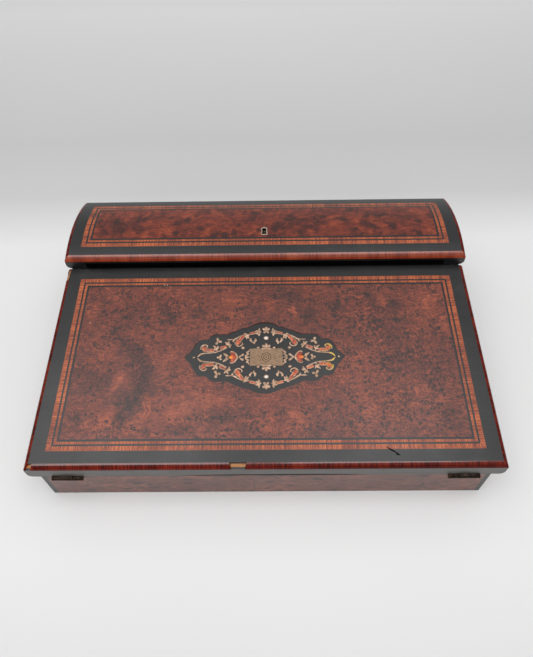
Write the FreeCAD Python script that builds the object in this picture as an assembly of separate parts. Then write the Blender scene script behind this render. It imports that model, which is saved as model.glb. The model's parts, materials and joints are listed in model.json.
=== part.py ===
import FreeCAD
import Part
import math
import os

Vector = FreeCAD.Vector

# Portable writing slope with a hinged flap, a barrel lid at the back and a marquetry panel.
# Millimetres. X runs side to side, Y from front to back, Z up from the table.
# The origin is the centre of the underside.

# Driving sizes of the whole form
lid_width = 390.0
side_overhang = 10.5
slope_degrees = 10.2
front_height = 34.0
flap_run = 193.5
lid_gap = 0.6
lid_depth = 89.0
rim_rise = 0.5
lid_edge = 8.2
lid_rise = 7.8
flap_edge = 11.0
edge_round = 4.5
bead = 4.0
seam = 0.2
overrun = 40.0
fit = 0.05
bar_sides = 10
arc_chords = 4

# Boards and skins of the case
wall = 8.5
veneer = 0.8
bottom = 6.0
corner_strip = 4.0
lining = 1.0
divider_wall = 8.5

# Rear compartment: raised floor, two ink cells and a pen tray
floor_top = 18.0
floor_wall = 4.0
cell_width = 56.0
partition = 4.0
partition_drop = 8.0
tray_height = 34.0
trough_radius = 26.0
trough_depth = 18.0
trough_margin = 9.0

# Inkwells: square glass, square brass collar and hinged cap
ink_side = 42.0
ink_shoulder = 32.0
ink_bevel = 4.0
neck_half_side = 14.5
neck_rise = 3.5
ink_bore = 12.0
ink_base = 6.0
collar_wall = 2.0
collar_lip = 1.5
cap_gap = 0.3
cap_edge = 2.6
cap_bevel = 3.0
cap_wall = 1.2
cap_tab = 1.5
cap_tab_half = 4.0
cap_knuckle_radius = 1.6
cap_knuckle_length = 5.0
cap_pin_radius = 0.7
cap_arm = 1.6

# Butt hinges of the flap and the lid
leaf_length = 25.5
leaf_depth = 8.2
leaf_wall = 1.0
knuckle_radius = 1.8
knuckle_gap = 0.2
knuckle_forward = 0.9
middle_knuckle = 9.0
pin_radius = 0.8
neck_half = 0.6
flap_hinge_inset = 21.5
lid_hinge_inset = 72.5

# Screws
screw_head = 1.7
screw_sink = 0.9
screw_shank = 0.8
screw_length = 6.5
screw_sides = 6
screw_spread = 16.0
screw_setback = 5.4

# Flap finish: border, two crossbanded bands between black lines, burl field, leather below
flap_border_front = 9.9
flap_border_side = 11.8
flap_border_back = 12.1
outer_band = 4.0
outer_line = 1.6
inner_band = 2.2
inner_line = 1.9
leather = 1.0
leather_margin = 7.0

# Barrel lid: panel, rails, and the border of its finish
panel = 5.0
front_rail = 6.0
lid_border_front = 8.9
lid_border_side = 11.1
lid_border_back = 12.0

# Lock under the lid, its keeper on the divider and the keyhole
key_setback = 30.0
lock_front = 13.0
lock_half = 26.0
lock_run = 30.0
lock_low = 1.2
bolt_half = 9.0
bolt_low = 3.1
bolt_wall = 3.4
bolt_run = 12.0
bolt_slack = 0.5
keeper_wall = 2.0
keeper_half = 15.0
keeper_rise = 8.4
keeper_tail = 13.0
key_round = 2.4
key_slot_half = 1.5
key_slot_flare = 2.7
key_slot_run = 6.6
escutcheon_rim = 1.0
escutcheon_proud = 0.15
drill_pin = 0.8

# Marquetry panel in the middle of the flap
cartouche_half_length = 71.5
cartouche_half_height = 35.5
inlay_rim = 0.75
curl_radius = 3.0
lobe = 1.25
dot = 1.4
pearl = 2.0
rosette_lobes = 5
trefoil_lobes = 3
stud_sides = 6

# Outlines of the marquetry, as shares of its half length and half height.
# A pair is a line to that place; four numbers are an arc through the first place to the second.
ground_shares = [
    (0.0, 0.0), (1.0, 0.0), (0.91, 0.19), (0.875, 0.36, 0.805, 0.495), (0.712, 0.505),
    (0.668, 0.62, 0.60, 0.652), (0.478, 0.645), (0.335, 0.772, 0.19, 0.868), (0.1, 0.965, 0.0, 1.0)]
inner_scroll_shares = [
    (0.112, 0.665), (0.12, 0.74), (0.275, 0.685, 0.385, 0.43), (0.325, 0.415), (0.25, 0.585, 0.112, 0.665)]
inner_curl_share = (0.343, 0.40)
inner_leaf_shares = [(0.345, 0.60), (0.495, 0.51), (0.37, 0.47)]
outer_scroll_shares = [
    (0.455, 0.275), (0.50, 0.37), (0.62, 0.27, 0.735, 0.285), (0.80, 0.185), (0.63, 0.15, 0.455, 0.275)]
outer_curl_share = (0.775, 0.285)
outer_leaf_shares = [(0.79, 0.19), (0.865, 0.02), (0.735, 0.152)]
inner_finial_shares = [(0.098, 0.60), (0.118, 0.71), (0.098, 0.83), (0.074, 0.71)]
outer_finial_shares = [(0.435, 0.20), (0.478, 0.31), (0.505, 0.43), (0.445, 0.33)]
trefoil_shares = [(0.617, 0.46), (0.172, 0.465)]
axis_trefoil_shares = [(0.582, 0.0), (0.312, 0.0)]
pair_trefoil_shares = [(0.515, 0.072), (0.24, 0.09)]
dot_share = (0.294, 0.265)
tip_dot_share = (0.915, 0.0)
rosette_share = (0.0, 0.80)
pearl_share = (0.0, 0.54)
shell_shares = [(0.462, -0.16), (0.462, 0.16), (0.36, 0.15, 0.36, 0.0), (0.36, -0.15, 0.462, -0.16)]
plaque_shares = [
    (-0.207, -0.248), (-0.085, -0.248), (-0.045, -0.35, 0.0, -0.375), (0.045, -0.35, 0.085, -0.248),
    (0.207, -0.248), (0.207, 0.248), (0.085, 0.248), (0.045, 0.35, 0.0, 0.375),
    (-0.045, 0.35, -0.085, 0.248), (-0.207, 0.248)]

# Places worked out from the sizes above
slope = math.radians(slope_degrees)
rise = math.tan(slope)
lean = math.cos(slope)
body_width = lid_width - 2 * side_overhang
body_depth = flap_run + lid_gap + lid_depth
half_width = body_width / 2
half_lid = lid_width / 2
inner_half = half_width - veneer - wall
flap_hinge_x = half_width - flap_hinge_inset
lid_hinge_x = half_width - lid_hinge_inset
front_y = -body_depth / 2
back_y = body_depth / 2
flap_back_y = front_y + flap_run
divider_y = flap_back_y + lid_gap
front_inner_y = front_y + veneer + wall
back_inner_y = back_y - wall
room_front_y = divider_y + divider_wall
flap_rise = flap_edge + bead / lean
flap_top = front_height + flap_rise
seam_z = flap_top + flap_run * rise + rim_rise
case_top = seam_z - seam
lid_corner = seam_z + lid_edge + bead
barrel_radius = ((lid_depth / 2) ** 2 + lid_rise ** 2) / (2 * lid_rise)
barrel_y = divider_y + lid_depth / 2
barrel_z = lid_corner + lid_rise - barrel_radius
panel_under = barrel_radius - veneer - panel
slope_length = flap_run / lean
mid_slope = slope_length / 2
flap_drop = knuckle_radius + knuckle_gap
flap_pin_y = front_y - knuckle_forward
flap_pin_z = front_height - knuckle_forward * rise - flap_drop / lean
lid_pin_y = back_y + knuckle_forward
lid_pin_z = seam_z - seam / 2


def box(x0, x1, y0, y1, z0, z1):
    return Part.makeBox(x1 - x0, y1 - y0, z1 - z0, Vector(x0, y0, z0))


def rod(radius, start, end):
    return Part.makeCylinder(radius, (end - start).Length, start, end - start)


def ring_of(radius, sides, z):
    corners = [2 * math.pi * k / sides for k in range(sides)]
    points = [Vector(math.cos(a) * radius, math.sin(a) * radius, z) for a in corners]
    return Part.makePolygon(points + points[:1])


def bar(radius, start, end):
    """Slim many-sided bar between two points, inside its radius."""
    shape = Part.Face(ring_of(radius, bar_sides, 0)).extrude(Vector(0, 0, (end - start).Length))
    shape.Placement = FreeCAD.Placement(start, FreeCAD.Rotation(Vector(0, 0, 1), end - start))
    return shape


def bore(radius, start, end):
    """Slim many-sided hole that leaves a radius clear."""
    return bar(radius / math.cos(math.pi / bar_sides), start, end)


def face_of(points):
    return Part.Face(Part.makePolygon(points + points[:1]))


def round_to(start, middle, end):
    """Points that follow an arc from a start, through a middle, up to and including an end."""
    arc = Part.Arc(start, middle, end).toShape()
    return arc.discretize(Number=arc_chords + 1)[1:]


def across(profile, x0, x1):
    """Solid with a profile in Y and Z, run from x0 to x1."""
    return face_of([Vector(x0, y, z) for y, z in profile]).extrude(Vector(x1 - x0, 0, 0))


def upright(plan, z0, z1):
    """Solid with a plan in X and Y, run from z0 to z1."""
    return face_of([Vector(x, y, z0) for x, y in plan]).extrude(Vector(0, 0, z1 - z0))


def mirrored(shape):
    return shape.mirror(Vector(0, 0, 0), Vector(1, 0, 0))


def both_sides(shape):
    return [shape, mirrored(shape)]


def fused(shapes):
    whole = shapes[0]
    for shape in shapes[1:]:
        whole = whole.fuse(shape)
    return whole.removeSplitter()


def flap_seat(y):
    """Height of the case's sloping top edge under the flap."""
    return front_height + (y - front_y) * rise - seam


parts = {}


# Case
def side_profile(y0, y1):
    return [
        (y0, 0), (y1, 0), (y1, case_top), (divider_y, case_top),
        (divider_y, flap_seat(divider_y)), (y0, flap_seat(y0))]


def front_profile(y0, y1):
    return [(y0, 0), (y1, 0), (y1, flap_seat(y1)), (y0, flap_seat(y0))]


strip_inner = half_width - corner_strip
front_board = across(front_profile(front_y + veneer, front_inner_y), -strip_inner, strip_inner)
back_board = box(-strip_inner, strip_inner, back_inner_y, back_y, 0, case_top)
front_veneer = across(front_profile(front_y, front_y + veneer), -strip_inner, strip_inner)
front_strip = across(front_profile(front_y, front_y + corner_strip), strip_inner, half_width)
back_strip = box(strip_inner, half_width, back_y - corner_strip, back_y, 0, case_top)
right_side = across(side_profile(front_y + veneer, back_y), inner_half, half_width - veneer)
right_side = right_side.cut([front_board, back_board, front_strip, back_strip])
right_veneer = across(
    side_profile(front_y + corner_strip, back_y - corner_strip), half_width - veneer, half_width)

parts["bottom_board"] = box(-inner_half, inner_half, front_inner_y, back_inner_y, 0, bottom)
parts["right_side"] = right_side
parts["left_side"] = mirrored(right_side)
parts["right_veneer"] = right_veneer
parts["left_veneer"] = mirrored(right_veneer)
parts["corner_strips"] = Part.makeCompound(both_sides(front_strip) + both_sides(back_strip))
parts["divider"] = box(-inner_half, inner_half, divider_y, room_front_y, bottom, case_top)
parts["well_lining"] = box(
    -inner_half, inner_half, front_inner_y, divider_y, bottom, bottom + lining)

# Rear compartment
floor = box(-inner_half, inner_half, room_front_y, back_inner_y, floor_top - floor_wall, floor_top)
cell_x = inner_half - cell_width
tray_half = cell_x - partition
right_partition = box(
    tray_half, cell_x, room_front_y, back_inner_y, floor_top, case_top - partition_drop)
tray_top = floor_top + tray_height
room_y = (room_front_y + back_inner_y) / 2
trough_z = tray_top - trough_depth + trough_radius
trough_end = tray_half - trough_margin
trough = rod(
    trough_radius, Vector(-trough_end, room_y, trough_z), Vector(trough_end, room_y, trough_z))
pen_tray = box(-tray_half, tray_half, room_front_y, back_inner_y, floor_top, tray_top).cut(trough)

parts["compartment_floor"] = floor
parts["right_partition"] = right_partition
parts["left_partition"] = mirrored(right_partition)
parts["pen_tray"] = pen_tray

# Inkwells, built at the origin and set in the two outer cells
ink_x = inner_half - cell_width / 2
neck_top = ink_shoulder + neck_rise
collar_half = neck_half_side + collar_wall
collar_top = neck_top + collar_lip
cap_base = collar_top + cap_gap
cap_top = cap_base + cap_edge + cap_bevel
cap_pin_y = collar_half + cap_knuckle_radius + cap_gap
cap_pin_z = collar_top + cap_gap / 2


def square(half, z0, z1):
    return box(-half, half, -half, half, z0, z1)


def glass_well():
    block = square(ink_side / 2, 0, ink_shoulder)
    edges = [edge for edge in block.Edges if edge.CenterOfMass.z > 0]
    block = block.makeChamfer(ink_bevel, edges)
    neck = square(neck_half_side, 0, neck_top)
    hollow = rod(ink_bore, Vector(0, 0, ink_base), Vector(0, 0, neck_top + overrun))
    return fused([block, neck]).cut(hollow)


def cap_knuckle(x0, x1, level):
    """Barrel on the cap's pin, with an arm that reaches in at a level above or below it."""
    low = min(level, cap_pin_z)
    high = max(level, cap_pin_z)
    barrel = bar(cap_knuckle_radius, Vector(x0, cap_pin_y, cap_pin_z), Vector(x1, cap_pin_y, cap_pin_z))
    arm = box(x0, x1, collar_half - collar_wall / 2, cap_pin_y, low, high)
    return fused([barrel, arm])


half_knuckle = cap_knuckle_length / 2
outer_knuckle = half_knuckle + cap_gap + cap_knuckle_length
pin_bore = bore(
    cap_pin_radius + fit, Vector(-outer_knuckle, cap_pin_y, cap_pin_z),
    Vector(outer_knuckle, cap_pin_y, cap_pin_z))
cap_pin = rod(
    cap_pin_radius, Vector(-outer_knuckle, cap_pin_y, cap_pin_z), Vector(outer_knuckle, cap_pin_y, cap_pin_z))


def collar():
    neck = square(neck_half_side, ink_shoulder, neck_top)
    mouth = square(ink_bore, neck_top, collar_top)
    frame = square(collar_half, ink_shoulder, collar_top).cut([neck, mouth])
    room = bore(
        cap_knuckle_radius + cap_gap, Vector(-half_knuckle - cap_gap, cap_pin_y, cap_pin_z),
        Vector(half_knuckle + cap_gap, cap_pin_y, cap_pin_z))
    lugs = [
        cap_knuckle(-outer_knuckle, -half_knuckle - cap_gap, collar_top - cap_arm),
        cap_knuckle(half_knuckle + cap_gap, outer_knuckle, collar_top - cap_arm)]
    return fused([frame.cut(room)] + lugs).cut(pin_bore)


def cap():
    block = square(collar_half, cap_base, cap_top)
    edges = [edge for edge in block.Edges if edge.BoundBox.ZMin > cap_top - fit]
    block = block.makeChamfer(cap_bevel, edges)
    hollow = square(collar_half - cap_bevel - cap_wall, cap_base, cap_top - cap_wall)
    tab = box(
        -cap_tab_half, cap_tab_half, -collar_half - cap_tab, -collar_half, cap_base, cap_base + cap_edge / 2)
    lug = cap_knuckle(-half_knuckle, half_knuckle, cap_base + cap_edge / 2)
    room = [
        bore(cap_knuckle_radius + cap_gap, Vector(start, cap_pin_y, cap_pin_z), Vector(end, cap_pin_y, cap_pin_z))
        for start, end in (
            (-outer_knuckle - cap_gap, -half_knuckle), (half_knuckle, outer_knuckle + cap_gap))]
    shell = fused([block, tab]).cut(hollow).cut(room)
    return fused([shell, lug]).cut(pin_bore)


def in_cell(shape, side):
    return shape.translated(Vector(side * ink_x, room_y, floor_top))


parts["inkwells"] = Part.makeCompound([in_cell(glass_well(), side) for side in (-1, 1)])
parts["inkwell_collars"] = Part.makeCompound([in_cell(collar(), side) for side in (-1, 1)])
parts["inkwell_pins"] = Part.makeCompound([in_cell(cap_pin, side) for side in (-1, 1)])
parts["left_inkwell_cap"] = in_cell(cap(), -1)
parts["right_inkwell_cap"] = in_cell(cap(), 1)


# Flap: a sloping board with upright ends, measured up and down from its finished top
def slab(half, y0, y1, low, high):
    def level(y, offset):
        return flap_top + (y - front_y) * rise + offset
    return across(
        [(y0, level(y0, low)), (y1, level(y1, low)), (y1, level(y1, high)), (y0, level(y0, high))],
        -half, half)


def on_flap(shape):
    """Moves a shape drawn flat, with its face at zero height and its front edge at zero, to the flap's top."""
    turned = shape.rotated(Vector(0, 0, 0), Vector(1, 0, 0), slope_degrees)
    return turned.translated(Vector(0, front_y, flap_top))


def tile(x0, x1, s0, s1):
    return box(x0, x1, s0, s1, -veneer, 0)


def mitred_ring(half, s0, s1, width, z0, z1):
    """Four mitred strips of one band, seen from above."""
    outer = [(-half, s0), (half, s0), (half, s1), (-half, s1)]
    inner = [
        (-half + width, s0 + width), (half - width, s0 + width),
        (half - width, s1 - width), (-half + width, s1 - width)]
    return [
        upright([outer[k - 1], outer[k], inner[k], inner[k - 1]], z0, z1) for k in range(len(outer))]


def rounded_under(shape):
    """Rounds the lower edges that run from front to back along the overhanging sides."""
    centre = shape.CenterOfMass
    places = [(edge, edge.CenterOfMass) for edge in shape.Edges]
    edges = [
        edge for edge, place in places
        if abs(place.x) > half_lid - fit and abs(place.y - centre.y) < fit and place.z < centre.z]
    return shape.makeFillet(edge_round, edges)


lower_core = rounded_under(slab(half_lid, front_y, flap_back_y, -flap_rise, -bead / lean))
upper_core = slab(half_lid - bead, front_y + bead, flap_back_y, -bead / lean, -veneer / lean)
flap_under = -flap_rise * lean
leather_half = inner_half - leather_margin
leather_front = (front_inner_y - front_y + leather_margin) / lean
leather_back = slope_length - leather_margin
leather_flat = box(
    -leather_half, leather_half, leather_front, leather_back, flap_under, flap_under + leather)
flap_board = fused([lower_core, upper_core]).cut(on_flap(leather_flat))

band_half = half_lid - bead - flap_border_side
band_front = (bead + flap_border_front) / lean
band_back = slope_length - flap_border_back / lean
line_at = outer_band
inner_at = line_at + outer_line
inner_line_at = inner_at + inner_band
field_at = inner_line_at + inner_line


def flap_ring(inset, width):
    return mitred_ring(band_half - inset, band_front + inset, band_back - inset, width, -veneer, 0)


flap_border = slab(half_lid - bead, front_y + bead, flap_back_y, -veneer / lean, 0)
flap_border = flap_border.cut(on_flap(tile(-band_half, band_half, band_front, band_back)))
flap_lines = [fused(flap_ring(line_at, outer_line)), fused(flap_ring(inner_line_at, inner_line))]
flap_field = tile(
    -band_half + field_at, band_half - field_at, band_front + field_at, band_back - field_at)

parts["flap_leather"] = on_flap(leather_flat)
parts["flap_border"] = Part.makeCompound([flap_border] + [on_flap(ring) for ring in flap_lines])
parts["flap_outer_band"] = Part.makeCompound([on_flap(strip) for strip in flap_ring(0, outer_band)])
parts["flap_inner_band"] = Part.makeCompound([on_flap(strip) for strip in flap_ring(inner_at, inner_band)])


# Rosewood beads round the flap: rounded strips, mitred at the front corners
def rounded_strip(start, corner, end, middle):
    """Face with two straight sides at a corner, closed by a round edge."""
    return face_of([corner, end] + round_to(end, middle, start))


bead_fall = bead / lean
turn = (math.pi / 2 + slope) / 2
front_bend = bead_fall * math.tan(turn)
bend_y = front_y + front_bend
bend_z = flap_top - bead_fall
arc_reach = Vector(0, -math.sin(turn), math.cos(turn)) * front_bend
front_bead = rounded_strip(
    Vector(-half_lid, front_y, flap_top - bead_fall),
    Vector(-half_lid, front_y + bead, flap_top - bead_fall + bead * rise),
    Vector(-half_lid, front_y + bead, flap_top + bead * rise),
    Vector(-half_lid, bend_y, bend_z) + arc_reach).extrude(Vector(lid_width, 0, 0))
side_arc = bead * math.cos(math.pi / 4)
side_bead = rounded_strip(
    Vector(half_lid, -overrun, -bead), Vector(half_lid - bead, -overrun, -bead),
    Vector(half_lid - bead, -overrun, 0),
    Vector(half_lid - bead + side_arc, -overrun, -bead + side_arc))
side_bead = on_flap(side_bead.extrude(Vector(0, slope_length + 2 * overrun, 0)))


def front_mitre(y):
    return upright(
        [(-half_lid, y), (half_lid, y), (half_lid - bead, y + bead), (-half_lid + bead, y + bead)],
        0, lid_corner + overrun)


def side_mitre(y0, y1):
    return upright(
        [(half_lid, y0), (half_lid, y1), (half_lid - bead, y1), (half_lid - bead, y0 + bead)],
        0, lid_corner + overrun)


parts["flap_front_bead"] = front_bead.common(front_mitre(front_y))
parts["flap_right_bead"] = side_bead.common(side_mitre(front_y, flap_back_y))
parts["flap_left_bead"] = mirrored(parts["flap_right_bead"])


# Marquetry, drawn flat about its own centre
def spot(share):
    return Vector(share[0] * cartouche_half_length, share[1] * cartouche_half_height, 0)


def drawn(shares):
    points = [spot(shares[0])]
    for step in shares[1:]:
        there = spot(step[-2:])
        if len(step) == 4:
            points += round_to(points[-1], spot(step[:2]), there)
        else:
            points.append(there)
    if points[-1].distanceToPoint(points[0]) < fit:
        points.pop()
    return face_of(points)


def cut_out(face):
    return face.extrude(Vector(0, 0, -veneer))


def disc(share, radius):
    return bar(radius, spot(share) - Vector(0, 0, veneer), spot(share))


def lobed(share, count):
    """Pointed petals about a place, with a notch between each two."""
    points = []
    for k in range(2 * count):
        angle = math.pi / 2 + math.pi * k / count
        reach = lobe if k % 2 else 2 * lobe
        points.append(spot(share) + Vector(math.cos(angle), math.sin(angle), 0) * reach)
    return cut_out(face_of(points))


def stud(share, radius):
    """Small six-sided dot."""
    corners = [2 * math.pi * k / stud_sides for k in range(stud_sides)]
    return cut_out(face_of([spot(share) + Vector(math.cos(a), math.sin(a), 0) * radius for a in corners]))


def four_ways(shape):
    pair = both_sides(shape)
    return pair + [piece.mirror(Vector(0, 0, 0), Vector(0, 1, 0)) for piece in pair]


def scroll(shares, curl_share, leaf_shares):
    """A ribbon with a curl and a leaf at its end, and the slip of red that fills it."""
    face = drawn(shares)
    fill = cut_out(face.makeOffset2D(-inlay_rim))
    ribbon = fused([cut_out(face), disc(curl_share, curl_radius), cut_out(drawn(leaf_shares))])
    return ribbon.cut(fill), fill


scrolls = []
fills = []
for shares, curl_share, leaf_shares in (
        (inner_scroll_shares, inner_curl_share, inner_leaf_shares),
        (outer_scroll_shares, outer_curl_share, outer_leaf_shares)):
    ribbon, fill = scroll(shares, curl_share, leaf_shares)
    scrolls += four_ways(ribbon)
    fills += four_ways(fill)
shell_face = drawn(shell_shares)
shell_fill = cut_out(shell_face.makeOffset2D(-inlay_rim))
scrolls += both_sides(cut_out(shell_face).cut(shell_fill))
fills += both_sides(shell_fill)

sprigs = []
for shares in (inner_finial_shares, outer_finial_shares):
    finial = cut_out(drawn(shares))
    for other in scrolls:
        finial = finial.cut(other)
    for other in fills:
        finial = finial.cut(other)
    sprigs += four_ways(finial)
for share in trefoil_shares:
    sprigs += four_ways(lobed(share, trefoil_lobes))
for share in axis_trefoil_shares:
    sprigs += both_sides(lobed(share, trefoil_lobes))
for share in pair_trefoil_shares:
    sprigs += four_ways(stud(share, lobe))
sprigs += four_ways(stud(dot_share, dot))
sprigs += both_sides(stud(tip_dot_share, lobe))
rosette = lobed(rosette_share, rosette_lobes)
sprigs += [rosette, rosette.mirror(Vector(0, 0, 0), Vector(0, 1, 0))]
pearl_dot = disc(pearl_share, pearl)
pearls = [pearl_dot, pearl_dot.mirror(Vector(0, 0, 0), Vector(0, 1, 0))]
plaque = cut_out(drawn(plaque_shares))
whole_ground = fused(four_ways(cut_out(drawn(ground_shares))))
ground = whole_ground.cut(scrolls + fills + sprigs + pearls + [plaque])


def on_centre(shapes):
    return Part.makeCompound([on_flap(shape.translated(Vector(0, mid_slope, 0))) for shape in shapes])


parts["flap_burl"] = on_flap(flap_field.cut(whole_ground.translated(Vector(0, mid_slope, 0))))
parts["cartouche_ground"] = on_centre([ground])
parts["cartouche_plaque"] = on_centre([plaque])
parts["cartouche_scrolls"] = on_centre(scrolls)
parts["cartouche_fills"] = on_centre(fills)
parts["cartouche_sprigs"] = on_centre(sprigs)
parts["cartouche_pearls"] = on_centre(pearls)


# Barrel lid, built from cylinders about one axis
def barrel(radius):
    return rod(radius, Vector(-half_lid, barrel_y, barrel_z), Vector(half_lid, barrel_y, barrel_z))


def barrel_height(y):
    return barrel_z + math.sqrt(barrel_radius ** 2 - (y - barrel_y) ** 2)


def lid_block(x0, x1, y0, y1):
    return box(x0, x1, y0, y1, seam_z, lid_corner + overrun)


lid_front_y = divider_y
lid_shoulder = seam_z + lid_edge
whole_lid = lid_block(-half_lid, half_lid, lid_front_y, back_y)
front_rebate = box(-half_lid, half_lid, lid_front_y, lid_front_y + bead, lid_shoulder, lid_corner + overrun)
end_rebate = lid_block(half_lid - bead, half_lid, lid_front_y, back_y).cut(barrel(barrel_radius - bead))
rebates = [front_rebate] + both_sides(end_rebate)
lid_top = whole_lid.common(barrel(barrel_radius - veneer)).cut(barrel(panel_under)).cut(rebates)
under_lid = barrel(panel_under)
lid_right_end = rounded_under(lid_block(inner_half, half_lid, lid_front_y, back_y)).common(under_lid)
lid_front_rail = lid_block(-inner_half, inner_half, lid_front_y, lid_front_y + front_rail).common(under_lid)
lid_back_rail = lid_block(-inner_half, inner_half, back_inner_y, back_y).common(under_lid)

skin = lid_block(-half_lid + bead, half_lid - bead, lid_front_y + bead, back_y)
skin = skin.common(barrel(barrel_radius)).cut(barrel(barrel_radius - veneer))
lid_band_half = half_lid - bead - lid_border_side
lid_band_front = lid_front_y + bead + lid_border_front
lid_band_back = back_y - lid_border_back


def lid_ring(inset, width):
    """Four mitred strips of one band, cut from the curved skin."""
    columns = mitred_ring(
        lid_band_half - inset, lid_band_front + inset, lid_band_back - inset, width,
        seam_z, lid_corner + overrun)
    return [column.common(skin) for column in columns]


def lid_field(inset):
    return lid_block(
        -lid_band_half + inset, lid_band_half - inset, lid_band_front + inset, lid_band_back - inset)


lid_burl = skin.common(lid_field(field_at))
lid_border = skin.cut(lid_field(0))
lid_lines = [fused(lid_ring(line_at, outer_line)), fused(lid_ring(inner_line_at, inner_line))]

shoulder_y = lid_front_y + bead
shoulder_rise = barrel_height(shoulder_y) - lid_shoulder
lid_bend = (bead ** 2 + shoulder_rise ** 2) / (2 * bead)
half_turn = math.atan2(shoulder_rise, lid_bend - bead) / 2
bend_middle = Vector(0, -math.cos(half_turn), math.sin(half_turn)) * lid_bend
lid_front_bead = rounded_strip(
    Vector(-half_lid, lid_front_y, lid_shoulder), Vector(-half_lid, shoulder_y, lid_shoulder),
    Vector(-half_lid, shoulder_y, barrel_height(shoulder_y)),
    Vector(-half_lid, lid_front_y + lid_bend, lid_shoulder) + bend_middle).extrude(Vector(lid_width, 0, 0))
rebate_z = barrel_z + barrel_radius - bead
end_section = rounded_strip(
    Vector(half_lid, barrel_y, rebate_z), Vector(half_lid - bead, barrel_y, rebate_z),
    Vector(half_lid - bead, barrel_y, rebate_z + bead),
    Vector(half_lid - bead + side_arc, barrel_y, rebate_z + side_arc))
end_bead = end_section.revolve(Vector(0, barrel_y, barrel_z), Vector(1, 0, 0), 360)

parts["lid_right_end"] = lid_right_end
parts["lid_left_end"] = mirrored(lid_right_end)
parts["lid_front_rail"] = lid_front_rail
parts["lid_outer_band"] = Part.makeCompound(lid_ring(0, outer_band))
parts["lid_inner_band"] = Part.makeCompound(lid_ring(inner_at, inner_band))
parts["lid_border"] = Part.makeCompound([lid_border] + lid_lines)
parts["lid_front_bead"] = lid_front_bead.common(front_mitre(lid_front_y))
parts["lid_end_beads"] = Part.makeCompound(both_sides(end_bead.common(side_mitre(lid_front_y, back_y))))

# Keyhole, square to the barrel's surface where the key goes in
key_angle = math.degrees(math.asin((lid_front_y + key_setback - barrel_y) / barrel_radius))


def on_barrel(shape):
    """Moves a shape drawn flat, with its face at zero height, to the keyhole's place on the barrel."""
    lifted = shape.translated(Vector(0, 0, barrel_radius))
    turned = lifted.rotated(Vector(0, 0, 0), Vector(1, 0, 0), -key_angle)
    return turned.translated(Vector(0, barrel_y, barrel_z))


def keyhole(grown, low, high):
    """Round head over a slot that widens to a curved foot, grown all round by a rim."""
    head = bar(key_round + grown, Vector(0, 0, low), Vector(0, 0, high))
    top = key_slot_half + grown
    foot = key_slot_flare + grown
    end = -key_slot_run - grown / 2
    tip = Vector(0, end - grown / 2 - fit, low)
    sides = [Vector(top, 0, low), Vector(-top, 0, low), Vector(-foot, end, low)]
    slot = face_of(sides + round_to(sides[-1], tip, Vector(foot, end, low)))
    return fused([head, slot.extrude(Vector(0, 0, high - low))]).translated(Vector(0, key_round, 0))


opening = on_barrel(keyhole(0, -overrun / 2, overrun / 2))
plate_room = on_barrel(keyhole(escutcheon_rim, -2 * veneer, overrun / 2))
escutcheon = keyhole(escutcheon_rim, -veneer, escutcheon_proud)
escutcheon = on_barrel(escutcheon).cut(opening)
parts["escutcheon"] = escutcheon
parts["lid_burl"] = lid_burl.cut(plate_room)
lid_top = lid_top.cut(opening)

# Lock case under the panel, with its bolt, its drill pin and the keeper on the divider
lock_y = lid_front_y + lock_front
lock_z = seam_z + lock_low
lock_box = box(-lock_half, lock_half, lock_y, lock_y + lock_run, lock_z, lid_corner + overrun)
lock_box = lock_box.common(barrel(panel_under - fit))
bolt_z = seam_z + bolt_low
bolt = box(-bolt_half, bolt_half, lock_y, lock_y + bolt_run, bolt_z, bolt_z + bolt_wall)
bolt_room = box(
    -bolt_half - bolt_slack, bolt_half + bolt_slack, lock_y, lock_y + bolt_run + bolt_slack,
    bolt_z - bolt_slack, bolt_z + bolt_wall + bolt_slack)
key_room = box(
    -key_slot_half, key_slot_half, key_round - key_slot_run, key_round + key_slot_half, -overrun / 2, overrun / 2)
key_room = on_barrel(key_room)
stem = on_barrel(bar(drill_pin, Vector(0, key_round, -overrun / 2), Vector(0, key_round, -veneer)))
stem = stem.common(lid_block(-lock_half, lock_half, lock_y, lock_y + lock_run))
stem = stem.cut(box(-lock_half, lock_half, lock_y, lock_y + lock_run, seam_z, lock_z))
case_floor = box(
    -lock_half, lock_half, lock_y, lock_y + lock_run, lock_z, bolt_z - bolt_slack)
lock_case = lock_box.cut(bolt_room).cut(key_room.cut(case_floor))
lock_case = fused([lock_case, stem])

keeper_plate = box(
    -keeper_half, keeper_half, room_front_y, room_front_y + keeper_wall, case_top - keeper_tail,
    seam_z + keeper_rise)
keeper_slot = box(
    -bolt_half - bolt_slack, bolt_half + bolt_slack, room_front_y - keeper_wall,
    room_front_y + 2 * keeper_wall, bolt_z - bolt_slack, bolt_z + bolt_wall + bolt_slack)
keeper = keeper_plate.cut(keeper_slot)
parts["lock_bolt"] = bolt


# Hinges, drawn with the pin on X, the plate reaching along +Y and the seam's normal up
half_leaf = leaf_length / 2
half_middle = middle_knuckle / 2
middle = [(-half_middle, half_middle)]
outers = [(-half_leaf, -half_middle - knuckle_gap), (half_middle + knuckle_gap, half_leaf)]


def on_axis(make, radius, x0, x1):
    return make(radius, Vector(x0, 0, 0), Vector(x1, 0, 0))


def plate(low, high):
    return box(-half_leaf, half_leaf, 0, leaf_depth, low, high)


def leaf(low, high, own, other):
    """Plate with its own knuckles, clear of the other leaf's and drilled for the pin."""
    room = knuckle_radius + knuckle_gap
    shape = plate(low, high)
    for x0, x1 in other:
        shape = shape.cut(box(x0 - knuckle_gap, x1 + knuckle_gap, -room, room, low, high))
    for x0, x1 in own:
        neck = box(x0, x1, -neck_half, neck_half, min(low, 0), max(high, 0))
        shape = shape.fuse([on_axis(bar, knuckle_radius, x0, x1), neck])
    return shape.cut(on_axis(bore, pin_radius + fit, -half_leaf, half_leaf)).removeSplitter()


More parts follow.
